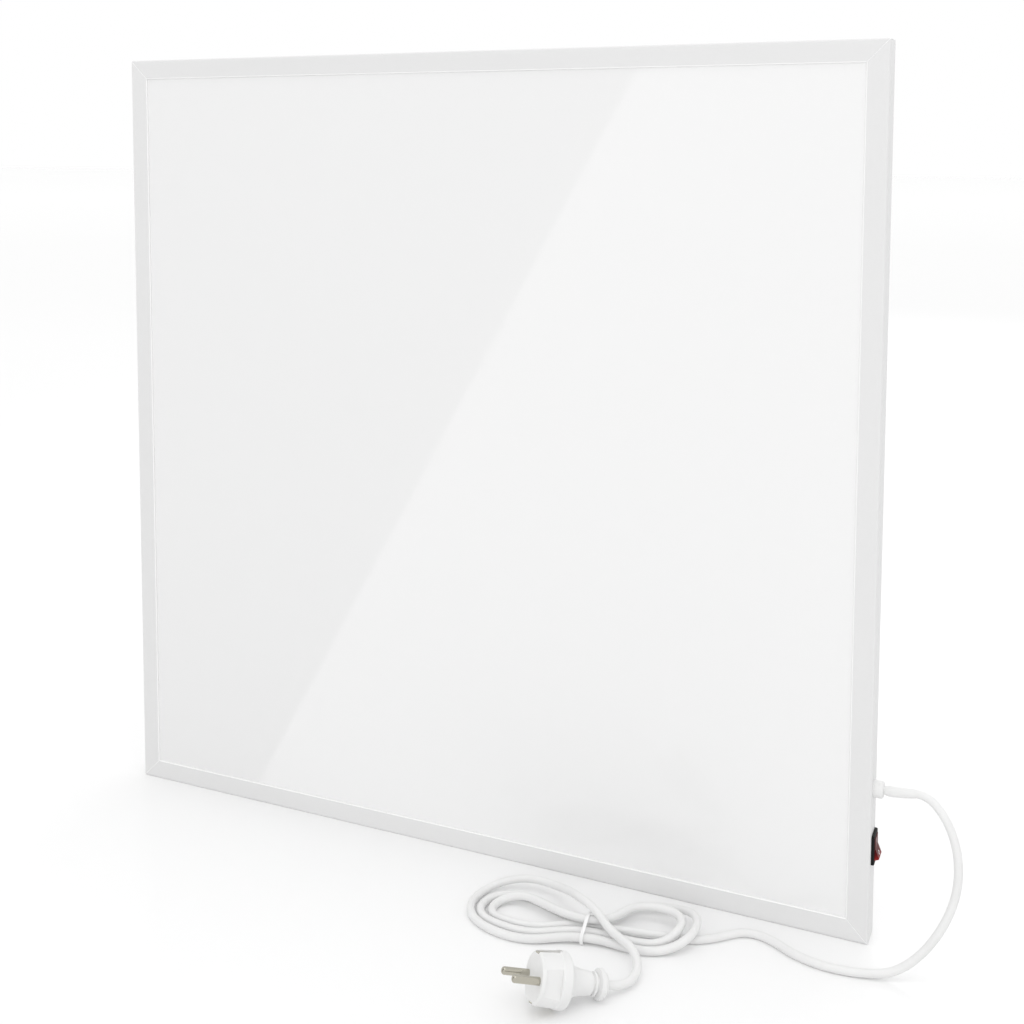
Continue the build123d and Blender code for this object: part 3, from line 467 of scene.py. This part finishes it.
# Heights of a strand's middle on the floor, at the waist, over another strand there and on
# top of both. One strand that crosses another is lifted by STRAND_RISE.
FLOOR_Z = CORD_D / 2
WAIST_Z = FLOOR_Z + 0.0014
STRAND_RISE = 0.0067
UPPER_Z = WAIST_Z + STRAND_RISE
TOP_Z = UPPER_Z + STRAND_RISE + 0.0012
# The waist, the bundle's start, first bend and end, and its last crossing over the waist.
WAIST = np.array([0.1255, -0.0676, 0.0])
HANK_START, START_WAY = np.array([0.2115, -0.042, FLOOR_Z]), heading(224)
HANK_BEND, BEND_WAY = np.array([0.185, -0.0576, FLOOR_Z]), heading(188)
HANK_END, END_WAY = np.array([0.153, -0.0865, 0.0104]), heading(-32)
HANK_TOP = WAIST + np.array([-0.002, -0.002, TOP_Z])
# Strands side by side at the waist: the first one's place across it, and the step to the next.
FIRST_STRAND = -0.003
HANK_STEP = 0.0074
# How many control points each arc of the bundle has, and the half angle under which it is a
# straight line.
ARC_POINTS = 3
STRAIGHT = 1e-4
# Left (-1) and right (1) lobes: their headings, and how far out their sides are still straight.
LOBE_TURN = {-1: 181.5, 1: 14.4}
LOBE_RUN = {-1: 0.046, 1: 0.0385}
# Each lobe's end, far side and near side in mm, and then the far side's height.
LEFT_LOBES = (
    (71.5, 6.6, -17.2, FLOOR_Z + 0.0052),
    (79.5, 14.2, -25.0, FLOOR_Z),
    (87.5, 29.0, -33.2, FLOOR_Z + 0.006),
)
RIGHT_LOBES = (
    (60.5, 15.8, -15.2, UPPER_Z),
    (71.0, 27.0, -23.4, FLOOR_Z + 0.002),
)
# How much each left lobe's strand leans across as it leaves the waist and comes back to it.
LEAVING_LEAN = (-0.12, -0.18, -0.24)
RETURN_LEAN = (-0.35, -0.35, -0.18)
# Where each right lobe leaves the waist, across it and in height, and how much it leans there.
RIGHT_LEAN = -0.05
RIGHT_CROSSING = (
    (FIRST_STRAND - HANK_STEP / 2, UPPER_Z),
    (FIRST_STRAND + HANK_STEP, WAIST_Z),
)

# The plug: the floor under the middle of its face, its yaw, and in mm the radius of its rear
# rim and of its collar and their places on its axis. The cord ends where the collar does.
PLUG_ROOT = np.array([0.1224, -0.1628, 0.0])
PLUG_YAW = radians(39.4)
RIM_R, RIM_AT = 16.6, 18.5
COLLAR_R, COLLAR_END = 9.0, 48.0
COLLAR_AT = COLLAR_END - 2.2
# The tail's straight stretch at each end, and its points between.
TAIL_STRAIGHT = 0.0095
TAIL = [
    (0.1685, -0.0995, 0.0076),
    (0.1713, -0.1085, 0.0056),
    (0.1703, -0.118, 0.0046),
]


def lobe(side, along, across, z=0.0):
    """A lobe's own measures as a vector: out from the waist, across to the far side, up."""
    out = heading(LOBE_TURN[side])
    far = np.array([-out[1], out[0], 0.0]) * side
    return out * along + far * across + np.array([0, 0, z])


def hank_knots():
    """Places and headings along the bundle: three left lobes and two right ones."""
    knots = [(HANK_START + START_WAY * CORD_D, START_WAY), (HANK_BEND, BEND_WAY)]

    def add(side, along, across, height, way):
        knots.append((WAIST + lobe(side, along, across, height), way))

    for k, (end, far, near, far_z) in enumerate(LEFT_LOBES):
        leaving, back = unit(lobe(-1, 1, LEAVING_LEAN[k])), unit(lobe(-1, -1, RETURN_LEAN[k]))
        add(-1, 0, FIRST_STRAND - HANK_STEP * k, WAIST_Z, leaving)
        add(-1, LOBE_RUN[-1], near * MM, FLOOR_Z, lobe(-1, 1, 0))
        add(-1, end * MM, (far + near) / 2 * MM, FLOOR_Z, lobe(-1, 0, 1))
        add(-1, LOBE_RUN[-1], far * MM, far_z, back)
        if k == len(RIGHT_LOBES):
            break
        end, far, near, far_z = RIGHT_LOBES[k]
        across, over = RIGHT_CROSSING[k]
        add(1, 0, across, over, unit(lobe(1, 1, RIGHT_LEAN)))
        add(1, LOBE_RUN[1], far * MM, far_z, lobe(1, 1, 0))
        add(1, end * MM, (far + near) / 2 * MM, UPPER_Z, lobe(1, 0, -1))
        add(1, LOBE_RUN[1], near * MM, FLOOR_Z, lobe(1, -1, 0))
    return knots + [(HANK_TOP, END_WAY), (HANK_END - END_WAY * CORD_D, END_WAY)]


def arc_points(start, way, end):
    """Points on the arc that leaves start along way and reaches end, without start.

    The arc's half angle is the one between way and the chord; a point at share
    s of the arc is the chord turned by the rest of that angle and shortened.
    """
    chord = end - start
    length = np.linalg.norm(chord)
    ahead = unit(chord)
    aside = way - ahead * way.dot(ahead)
    half = np.arctan2(np.linalg.norm(aside), way.dot(ahead))
    share = np.arange(1, ARC_POINTS + 1) / ARC_POINTS
    if half < STRAIGHT:
        return start + chord * share[:, None]
    aside = unit(aside)
    reach = length * np.sin(half * share) / np.sin(half)
    lean = half * (1 - share)
    return start + reach[:, None] * (np.cos(lean)[:, None] * ahead + np.sin(lean)[:, None] * aside)


def hank_points():
    """The bundle's control points, along a pair of arcs from each knot to the next.

    Between two knots the arcs meet at the middle of the points that lie the
    same reach ahead of the first knot and behind the second.
    """
    knots = hank_knots()
    runs = [HANK_START[None, :], knots[0][0][None, :]]
    for (p0, t0), (p1, t1) in zip(knots[:-1], knots[1:]):
        chord, both = p1 - p0, t0 + t1
        spread = 2 * (1 - t0.dot(t1))
        if spread < 1e-9:
            reach = chord.dot(chord) / (4 * chord.dot(t1))
        else:
            root = np.sqrt(chord.dot(both) ** 2 + spread * chord.dot(chord))
            reach = (root - chord.dot(both)) / spread
        q0, q1 = p0 + t0 * reach, p1 - t1 * reach
        meet, way = (q0 + q1) / 2, unit(q1 - q0)
        runs += [arc_points(p0, t0, meet), arc_points(meet, way, p1)]
    return np.concatenate(runs + [HANK_END[None, :]])


def plug_axis():
    """The middle of the plug's face and its axis, towards its cord.

    The plug rests on its rear rim and its collar, so the axis dips towards the cord.
    """
    dip = np.arctan2(RIM_R - COLLAR_R, COLLAR_AT - RIM_AT)
    axis = np.array([cos(PLUG_YAW) * cos(dip), sin(PLUG_YAW) * cos(dip), -sin(dip)])
    root = PLUG_ROOT + np.array([0, 0, (RIM_R * cos(dip) + RIM_AT * sin(dip)) * MM])
    return root, axis


def route():
    """All control points of the cord, from the gland to the plug's collar."""
    root, axis = plug_axis()
    end = root + axis * (COLLAR_END * MM)
    tail = [HANK_END + END_WAY * TAIL_STRAIGHT, *TAIL, end + axis * TAIL_STRAIGHT, end]
    return FOOT + np.concatenate([np.array(LEAD, float), hank_points(), np.array(tail, float)])


def cord_curve(name, points, depth):
    """A smooth NURBS line that follows the route's control points, with a round section."""
    curve = bpy.data.curves.new(name, "CURVE")
    curve.dimensions = "3D"
    curve.bevel_depth = depth
    curve.bevel_resolution = 5
    curve.resolution_u = 6
    curve.use_fill_caps = True
    spline = curve.splines.new("NURBS")
    spline.points.add(len(points) - 1)
    spline.points.foreach_set("co", np.column_stack([points, np.ones(len(points))]).ravel())
    spline.order_u = 3
    spline.use_endpoint_u = True
    return new_object(name, curve)


def line_points(points):
    """Points along the route's own NURBS line, read from a curve with no section."""
    line = cord_curve("route_line", points, 0.0)
    line.data.use_fill_caps = False
    bpy.context.view_layer.update()
    mesh = bpy.data.meshes.new_from_object(line)
    found = np.empty(len(mesh.vertices) * 3)
    mesh.vertices.foreach_get("co", found)
    bpy.data.meshes.remove(mesh)
    bpy.data.objects.remove(line)
    return found.reshape(-1, 3)


# -------------------------------------------------------- camera and the stage
def stand(piece, place, side, up, back):
    """Put an object at a place, with its own X, Y and Z along three directions."""
    turn = Matrix(np.column_stack([side, up, back]).tolist()).to_4x4()
    piece.matrix_world = Matrix.Translation(place) @ turn


class HEATER_OT_camera(bpy.types.Operator):
    """Place the camera at the photograph's viewing angle"""

    bl_idname = "heater.camera"
    bl_label = "Camera"

    def execute(self, context):
        camera = bpy.data.cameras.new("heater_camera")
        camera.sensor_fit = "HORIZONTAL"
        camera.sensor_width = SENSOR_MM
        camera.lens = LENS_PX / IMAGE_PX * SENSOR_MM
        camera.shift_x = (IMAGE_PX / 2 - AXIS_PX[0]) / IMAGE_PX
        camera.shift_y = (AXIS_PX[1] - IMAGE_PX / 2) / IMAGE_PX
        camera.clip_start = 0.02
        level = cos(CAMERA_PITCH)
        ahead = np.array([sin(CAMERA_YAW) * level, cos(CAMERA_YAW) * level, sin(CAMERA_PITCH)])
        right = np.array([cos(CAMERA_YAW), -sin(CAMERA_YAW), 0.0])
        up = np.cross(right, ahead)
        right, up = (
            cos(CAMERA_ROLL) * right + sin(CAMERA_ROLL) * up,
            cos(CAMERA_ROLL) * up - sin(CAMERA_ROLL) * right,
        )
        piece = new_object("heater_camera", camera)
        stand(piece, CAMERA_PLACE, right, up, -ahead)
        context.scene.camera = piece
        return {"FINISHED"}


def area_lamp(name, place, target, size, power, mirrored):
    """A square soft lamp that looks from its place to a target."""
    lamp = bpy.data.lights.new(name, "AREA")
    lamp.size = size
    lamp.energy = power
    piece = new_object(name, lamp)
    away = unit(np.subtract(place, target))
    side = unit(np.cross((0, 0, 1), away))
    stand(piece, place, side, np.cross(away, side), away)
    piece.visible_glossy = mirrored


def flat_piece(name, corners, material):
    """A flat piece of the stage between four corners."""
    mesh = bpy.data.meshes.new(name)
    mesh.from_pydata([tuple(corner) for corner in corners], [], [(0, 1, 2, 3)])
    mesh.materials.append(material)
    return new_object(name, mesh)


def white_world():
    """Even white light that the camera, mirrors and clear pieces see as pure white."""
    world = bpy.data.worlds.new("studio")
    world.use_nodes = True
    nodes, link = world.node_tree.nodes, world.node_tree.links.new
    nodes.clear()
    rays = nodes.new("ShaderNodeLightPath")
    mixer = nodes.new("ShaderNodeMixShader")
    out = nodes.new("ShaderNodeOutputWorld")
    direct = rays.outputs["Is Camera Ray"]
    for kind in ("Is Glossy Ray", "Is Transmission Ray"):
        either = nodes.new("ShaderNodeMath")
        either.operation = "MAXIMUM"
        link(direct, either.inputs[0])
        link(rays.outputs[kind], either.inputs[1])
        direct = either.outputs[0]
    link(direct, mixer.inputs[0])
    for socket, strength in ((1, WORLD_LIGHT), (2, 1.0)):
        light = nodes.new("ShaderNodeBackground")
        light.inputs["Color"].default_value = (1, 1, 1, 1)
        light.inputs["Strength"].default_value = strength
        link(light.outputs[0], mixer.inputs[socket])
    link(mixer.outputs[0], out.inputs["Surface"])
    return world


def pale_floor():
    """A wide pale floor under the panel, a little brighter to the camera, that mirrors don't show."""
    r = Recipe("floor_white")
    seen = r.value("ShaderNodeLightPath", output="Is Camera Ray")
    material = r.principled(
        Base_Color=(0.89, 0.89, 0.89, 1),
        Roughness=0.18,
        Specular_IOR_Level=0.22,
        Emission_Color=(1, 1, 1, 1),
        Emission_Strength=seen * 0.05,
    )
    corners = FOOT + np.array([(-1, -1, 0), (1, -1, 0), (1, 1, 0), (-1, 1, 0)]) * FLOOR_REACH
    floor = flat_piece("floor", corners, material)
    floor.visible_glossy = False


def dark_card():
    """A grey card in front of the panel that only its reflections show.

    The camera's mirror image behind the glass looks through the two places of
    the reflection's edge; the card's edge lies on those lines, half as far
    out again, and the card spreads from it to the upper left.
    """
    eye = np.array(CAMERA_PLACE)
    eye[1] = 2 * GLASS_Y - eye[1]
    top, foot = (
        eye + CARD_OUT * (np.array([x, GLASS_Y, z]) - eye) for x, z in (SHEEN_TOP, SHEEN_FOOT)
    )
    along = unit(top - foot)
    aside = np.array([-along[2], 0.0, along[0]]) * CARD_WIDTH
    near, far = foot - along * CARD_RUN_ON[0], top + along * CARD_RUN_ON[1]
    grey = Recipe("card_grey").principled(Base_Color=(0.02, 0.02, 0.02, 1), Roughness=1.0)
    card = flat_piece("dark_card", (near, far, far + aside, near + aside), grey)
    card.visible_camera = card.visible_diffuse = card.visible_shadow = False
    card.visible_transmission = card.visible_volume_scatter = False


class HEATER_OT_stage(bpy.types.Operator):
    """Lay the pale floor, light it and set the world"""

    bl_idname = "heater.stage"
    bl_label = "Stage"

    def execute(self, context):
        context.scene.view_settings.view_transform = "Standard"
        context.scene.world = white_world()
        pale_floor()
        dark_card()
        for lamp in LAMPS:
            area_lamp(*lamp)
        return {"FINISHED"}


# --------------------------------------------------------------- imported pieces
class HEATER_OT_panel(bpy.types.Operator):
    """Finish the frame, the glass, the layers behind it and the back cover"""

    bl_idname = "heater.panel"
    bl_label = "Panel"

    def execute(self, context):
        sizes, colours = context.scene.heater_sizes, context.scene.heater_colours
        paint = powder_coat("frame_paint", colours.frame_white, sizes.coat_grain, mitred=True)
        dress(paint, "frame_bottom", "frame_top", "frame_left", "frame_right")
        dress(powder_coat("cover_paint", (0.80, 0.80, 0.80), sizes.coat_grain * 1.6), "back_cover")
        dress(panel_glass("front_glass", colours.glass_white), "front_glass")
        dress(moulded("seal_rubber", (0.78, 0.78, 0.77), 0.7), "glass_seal")
        dress(moulded("clear_film", (0.62, 0.58, 0.46), 0.18, 0.00001, 40), "heating_film")
        dress(ink("carbon_ink", (0.03, 0.03, 0.032)), "carbon_strips")
        dress(metal("copper_foil", (0.80, 0.42, 0.25), 0.24, (1, 1, 0.05)), "copper_busbars")
        dress(moulded("mica_board", (0.46, 0.40, 0.30), 0.6, 0.0001, 260), "insulating_board")
        aluminium = metal("mill_aluminium", (0.82, 0.82, 0.83), 0.26, (0.05, 1, 1))
        dress(aluminium, "reflector_foil", "corner_keys", "bracket_rivets", "block_rivets")
        dress(wool("mineral_wool", (0.66, 0.60, 0.42)), "insulation_mat")
        return {"FINISHED"}


class HEATER_OT_fixings(bpy.types.Operator):
    """Finish the wall brackets, screws and earth fixings"""

    bl_idname = "heater.fixings"
    bl_label = "Fixings"

    def execute(self, context):
        zinc = metal("zinc_plate", (0.70, 0.71, 0.73), 0.24, (1, 1, 1), 700)
        pressed = metal("pressed_steel", (0.66, 0.67, 0.69), 0.30, (0.06, 1, 1), 900)
        dress(zinc, "cover_screws", "terminal_screws", "earth_bolt", "earth_nut")
        dress(pressed, "wall_brackets")
        return {"FINISHED"}


class HEATER_OT_wiring(bpy.types.Operator):
    """Finish the terminals, the cut-out and the leads in the wiring compartment"""

    bl_idname = "heater.wiring"
    bl_label = "Wiring"

    def execute(self, context):
        dress(moulded("terminal_white", (0.80, 0.80, 0.78), 0.4), "terminal_block", "gland_nut")
        dress(moulded("cutout_black", (0.03, 0.03, 0.03), 0.35), "thermal_cutout")
        dress(metal("stamped_brass", (0.78, 0.60, 0.30), 0.26), "switch_terminals", "earth_lug")
        dress(moulded("brown_lead", (0.13, 0.05, 0.022), 0.3), "live_wires")
        dress(moulded("blue_lead", (0.03, 0.10, 0.42), 0.3), "neutral_wires")
        dress(striped_wire("earth_lead", (0.10, 0.34, 0.05), (0.80, 0.66, 0.05)), "earth_wire")
        return {"FINISHED"}


# ---------------------------------------------------------------- the switch
# The rocker at rest: its pivot from the panel's foot, its lean, and in mm how far its middle
# fold and its ends stand out from the pivot, and half its length.
ROCKER_PIVOT = np.array([0.299, 0.00135, 0.0635])
ROCKER_LEAN = radians(-11.5)
FOLD_OUT, END_OUT, ROCKER_HALF = 3.6, 4.9, 6.95
# The marks, in metres: how far from the fold, how proud and how wide their strokes; then how
# square a bar's corners are, and how many points go round.
MARK_ALONG = 0.0044
MARK_LIFT = 0.00006
MARK_STROKE = 0.00042
MARK_SQUARE = 0.3
MARK_POINTS = 48


def on_facet(side, along, across, lift):
    """Point on one face of the rocker at rest.

    The two faces rise from the fold in the rocker's middle to its ends, and
    the whole rocker leans on its pivot by its rest angle.
    """
    out = np.array([cos(ROCKER_LEAN), 0, -sin(ROCKER_LEAN)])
    up = np.array([sin(ROCKER_LEAN), 0, cos(ROCKER_LEAN)])
    slope = unit([END_OUT - FOLD_OUT, side * ROCKER_HALF])
    normal = np.array([abs(slope[1]), -side * slope[0]])
    local = np.array([FOLD_OUT, 0.0]) * MM + slope * along[..., None] + normal * lift
    base = FOOT + ROCKER_PIVOT
    return base + local[..., :1] * out + local[..., 1:] * up + across[..., None] * np.array([0, 1, 0])


def on_mark(height):
    """Points and faces of a bar with rounded corners, |cos|^n by |sin|^n, on the upper face."""
    turn = np.linspace(0, 2 * pi, MARK_POINTS, endpoint=False)
    along = MARK_ALONG + np.sign(np.sin(turn)) * height / 2 * np.abs(np.sin(turn)) ** MARK_SQUARE
    across = np.sign(np.cos(turn)) * MARK_STROKE / 2 * np.abs(np.cos(turn)) ** MARK_SQUARE
    rim = on_facet(1, along, across, MARK_LIFT)
    foot = on_facet(1, along, across, -MARK_LIFT)
    ring = np.arange(MARK_POINTS)
    centre = np.full(MARK_POINTS, 2 * MARK_POINTS)
    cap = np.stack([ring, (ring + 1) % MARK_POINTS, centre], axis=1)
    faces = grid_faces(2, MARK_POINTS, close_columns=True)
    return np.concatenate([rim, foot, rim.mean(axis=0)[None, :]]), faces.tolist() + cap.tolist()


def off_mark(height):
    """Points and faces of a ring on the lower face."""
    turn = np.linspace(0, 2 * pi, MARK_POINTS, endpoint=False)
    outer, inner = height / 2, height / 2 - MARK_STROKE
    edge = np.array([outer, outer, inner, inner])[:, None]
    rise = np.array([-MARK_LIFT, MARK_LIFT, MARK_LIFT, -MARK_LIFT])
    along, across = MARK_ALONG + edge * np.sin(turn), edge * np.cos(turn)
    points = on_facet(-1, along, across, rise[:, None, None]).reshape(-1, 3)
    return points, grid_faces(4, MARK_POINTS, close_rows=True, close_columns=True)


class HEATER_OT_switch(bpy.types.Operator):
    """Finish the rocker switch and print its on and off marks"""

    bl_idname = "heater.switch"
    bl_label = "Switch"

    def execute(self, context):
        sizes, colours = context.scene.heater_sizes, context.scene.heater_colours
        black = moulded("switch_black", (0.008, 0.008, 0.008), 0.5, 0.00004, gloss=0.15)
        dress(black, "switch_housing")
        dress(lit_red("rocker_red", colours.rocker_red), "rocker")
        dress(moulded("lamp_orange", (0.80, 0.34, 0.16), 0.1), "rocker_lamp")
        white = moulded("mark_white", (0.82, 0.82, 0.82), 0.4, 0.00001)
        height = sizes.mark_height
        for name, shape in (("mark_on", on_mark(height)), ("mark_off", off_mark(height))):
            add_piece(name, shape, white, "rocker", False)
        return {"FINISHED"}


# ------------------------------------------------- tie, strain relief and cord
# The tie round the waist, in metres: its width, half its film's thickness, how much its wire
# core swells it and over what width, how far it stands off the strands' middles, how far it
# reaches to each side of the waist, where its crest is, and how near a corner it bends.
TIE_W = 0.0024
TIE_FILM = 0.00014
TIE_CORE, TIE_CORE_W = 0.0003, 0.0004
TIE_PAD = 0.0036
TIE_LOW, TIE_HIGH, TIE_CREST = -0.0178, 0.0044, -0.0067
TIE_BEND = 0.0019
# Its points round each corner and from edge to edge.
TIE_POINTS = (8, 13)
# In pads, how far the shoulders are above the waist's strands, and half the crest's width.
TIE_SHOULDER, TIE_CREST_HALF = 0.6, 0.75


def tie_band():
    """Points and faces of the flat tie round the waist of the bundle.

    Its line is the outline of the strands with each corner P rounded as
    (1-t)^2 A + 2t(1-t) P + t^2 B, where A and B lie on the two sides near P.
    Its section is a thin strip whose middle swells over the wire core, by
    exp(-(u/core)^2), and it is carried round the line.
    """
    pad = TIE_PAD
    low, high, crest = WAIST[1] + TIE_LOW, WAIST[1] + TIE_HIGH, WAIST[1] + TIE_CREST
    foot, shoulder, top = WAIST_Z - pad, WAIST_Z + pad * TIE_SHOULDER, UPPER_Z + pad
    half = pad * TIE_CREST_HALF
    corners = np.array([
        (low - pad, foot), (high + pad, foot), (high + pad, shoulder),
        (crest + half, top), (crest - half, top), (low - pad, shoulder),
    ])
    t = np.linspace(0, 1, TIE_POINTS[0])[None, :, None]
    before = corners + unit(np.roll(corners, 1, axis=0) - corners) * TIE_BEND
    after = corners + unit(np.roll(corners, -1, axis=0) - corners) * TIE_BEND
    line = (1 - t) ** 2 * before[:, None] + 2 * t * (1 - t) * corners[:, None] + t ** 2 * after[:, None]
    line = line.reshape(-1, 2)
    along = unit(np.roll(line, -1, axis=0) - np.roll(line, 1, axis=0))
    outer = np.stack([along[:, 1], -along[:, 0]], axis=1)
    u = np.linspace(-1, 1, TIE_POINTS[1]) * TIE_W / 2
    swell = TIE_FILM + TIE_CORE * np.exp(-(u / TIE_CORE_W) ** 2)
    u, swell = np.concatenate([u, u[::-1]]), np.concatenate([swell, -swell[::-1]])
    side = line[:, None, :] + outer[:, None, :] * swell[None, :, None]
    width = np.broadcast_to(WAIST[0] + u, side.shape[:2])
    points = FOOT + np.stack([width, side[..., 0], side[..., 1]], axis=-1).reshape(-1, 3)
    return points, grid_faces(len(line), len(u), close_rows=True, close_columns=True)


# The strain relief: how far it stands off the cord at the gland and at its tip, how its taper
# bends, how deep its ends sink into the cord, and how many points go round.
RELIEF_ROOT, RELIEF_TIP = 0.0009, 0.00012
RELIEF_TAPER = 0.8
RELIEF_SINK = 0.0002
RELIEF_SIDES = 32


def relief_sleeve(points, length, cord_radius):
    """Points and faces of rings round the cord's own line, from the gland's nose outwards."""
    line = line_points(points)
    run = np.concatenate([[0], np.cumsum(np.linalg.norm(np.diff(line, axis=0), axis=1))])
    keep = run < length
    wide, slim = cord_radius + RELIEF_ROOT, cord_radius + RELIEF_TIP
    radii = wide + (slim - wide) * (run[keep] / length) ** RELIEF_TAPER
    radii[0] = radii[-1] = cord_radius - RELIEF_SINK
    rings = carried(line[keep], radii, RELIEF_SIDES, np.array([0.0, 1.0, 0.0]))
    return rings, grid_faces(len(radii), RELIEF_SIDES, close_columns=True)


class HEATER_OT_cord(bpy.types.Operator):
    """Lay the cord from the gland through its tied bundle to the plug"""

    bl_idname = "heater.cord"
    bl_label = "Cord"

    def execute(self, context):
        sizes, colours = context.scene.heater_sizes, context.scene.heater_colours
        jacket = vinyl("cord_vinyl", colours.cord_white)
        body = vinyl("plug_vinyl", colours.cord_white, 0.00005)
        points = route()
        cord = cord_curve("cord", points, sizes.cord_diameter / 2)
        cord.data.materials.append(jacket)
        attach(cord, "heater")
        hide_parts("cord_lead", "cord_hank", "cord_tail")
        sleeve = relief_sleeve(points, sizes.relief_length, sizes.cord_diameter / 2)
        relief = add_piece("strain_relief", sleeve, body)
        dress(body, "plug_body", "cord_gland", "cord_inner_end")
        white = moulded("tie_white", (0.93, 0.93, 0.93), 0.3)
        tie = add_piece("waist_tie", tie_band(), white)
        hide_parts("cord_tie")
        nickel = metal("nickel_plate", (0.50, 0.48, 0.41), 0.10, (1, 1, 1), 1400)
        dress(nickel, "plug_pins", "plug_earth_clips")
        return {"FINISHED"}


# -------------------------------------------------------------- sidebar and run
class HEATER_PT_panel(bpy.types.Panel):
    """Buttons and settings of the heater"""

    bl_label = "Heater"
    bl_idname = "HEATER_PT_panel"
    bl_space_type = "VIEW_3D"
    bl_region_type = "UI"
    bl_category = "Heater"

    def draw(self, context):
        layout = self.layout
        for settings in (context.scene.heater_sizes, context.scene.heater_colours):
            box = layout.box()
            for key in settings.__annotations__:
                box.prop(settings, key)
        for operator in OPERATORS:
            layout.operator(operator.bl_idname)


OPERATORS = (
    HEATER_OT_camera,
    HEATER_OT_stage,
    HEATER_OT_cord,
    HEATER_OT_panel,
    HEATER_OT_fixings,
    HEATER_OT_wiring,
    HEATER_OT_switch,
)
CLASSES = (HeaterSizes, HeaterColours, HEATER_PT_panel) + OPERATORS


def register():
    for kind in CLASSES:
        bpy.utils.register_class(kind)
    bpy.types.Scene.heater_sizes = PointerProperty(type=HeaterSizes)
    bpy.types.Scene.heater_colours = PointerProperty(type=HeaterColours)


def unregister():
    del bpy.types.Scene.heater_colours
    del bpy.types.Scene.heater_sizes
    for kind in reversed(CLASSES):
        bpy.utils.unregister_class(kind)


def main():
    register()
    bpy.ops.heater.camera()
    bpy.ops.heater.stage()
    bpy.ops.heater.cord()
    bpy.ops.heater.panel()
    bpy.ops.heater.fixings()
    bpy.ops.heater.wiring()
    bpy.ops.heater.switch()


if __name__ == "__main__":
    main()
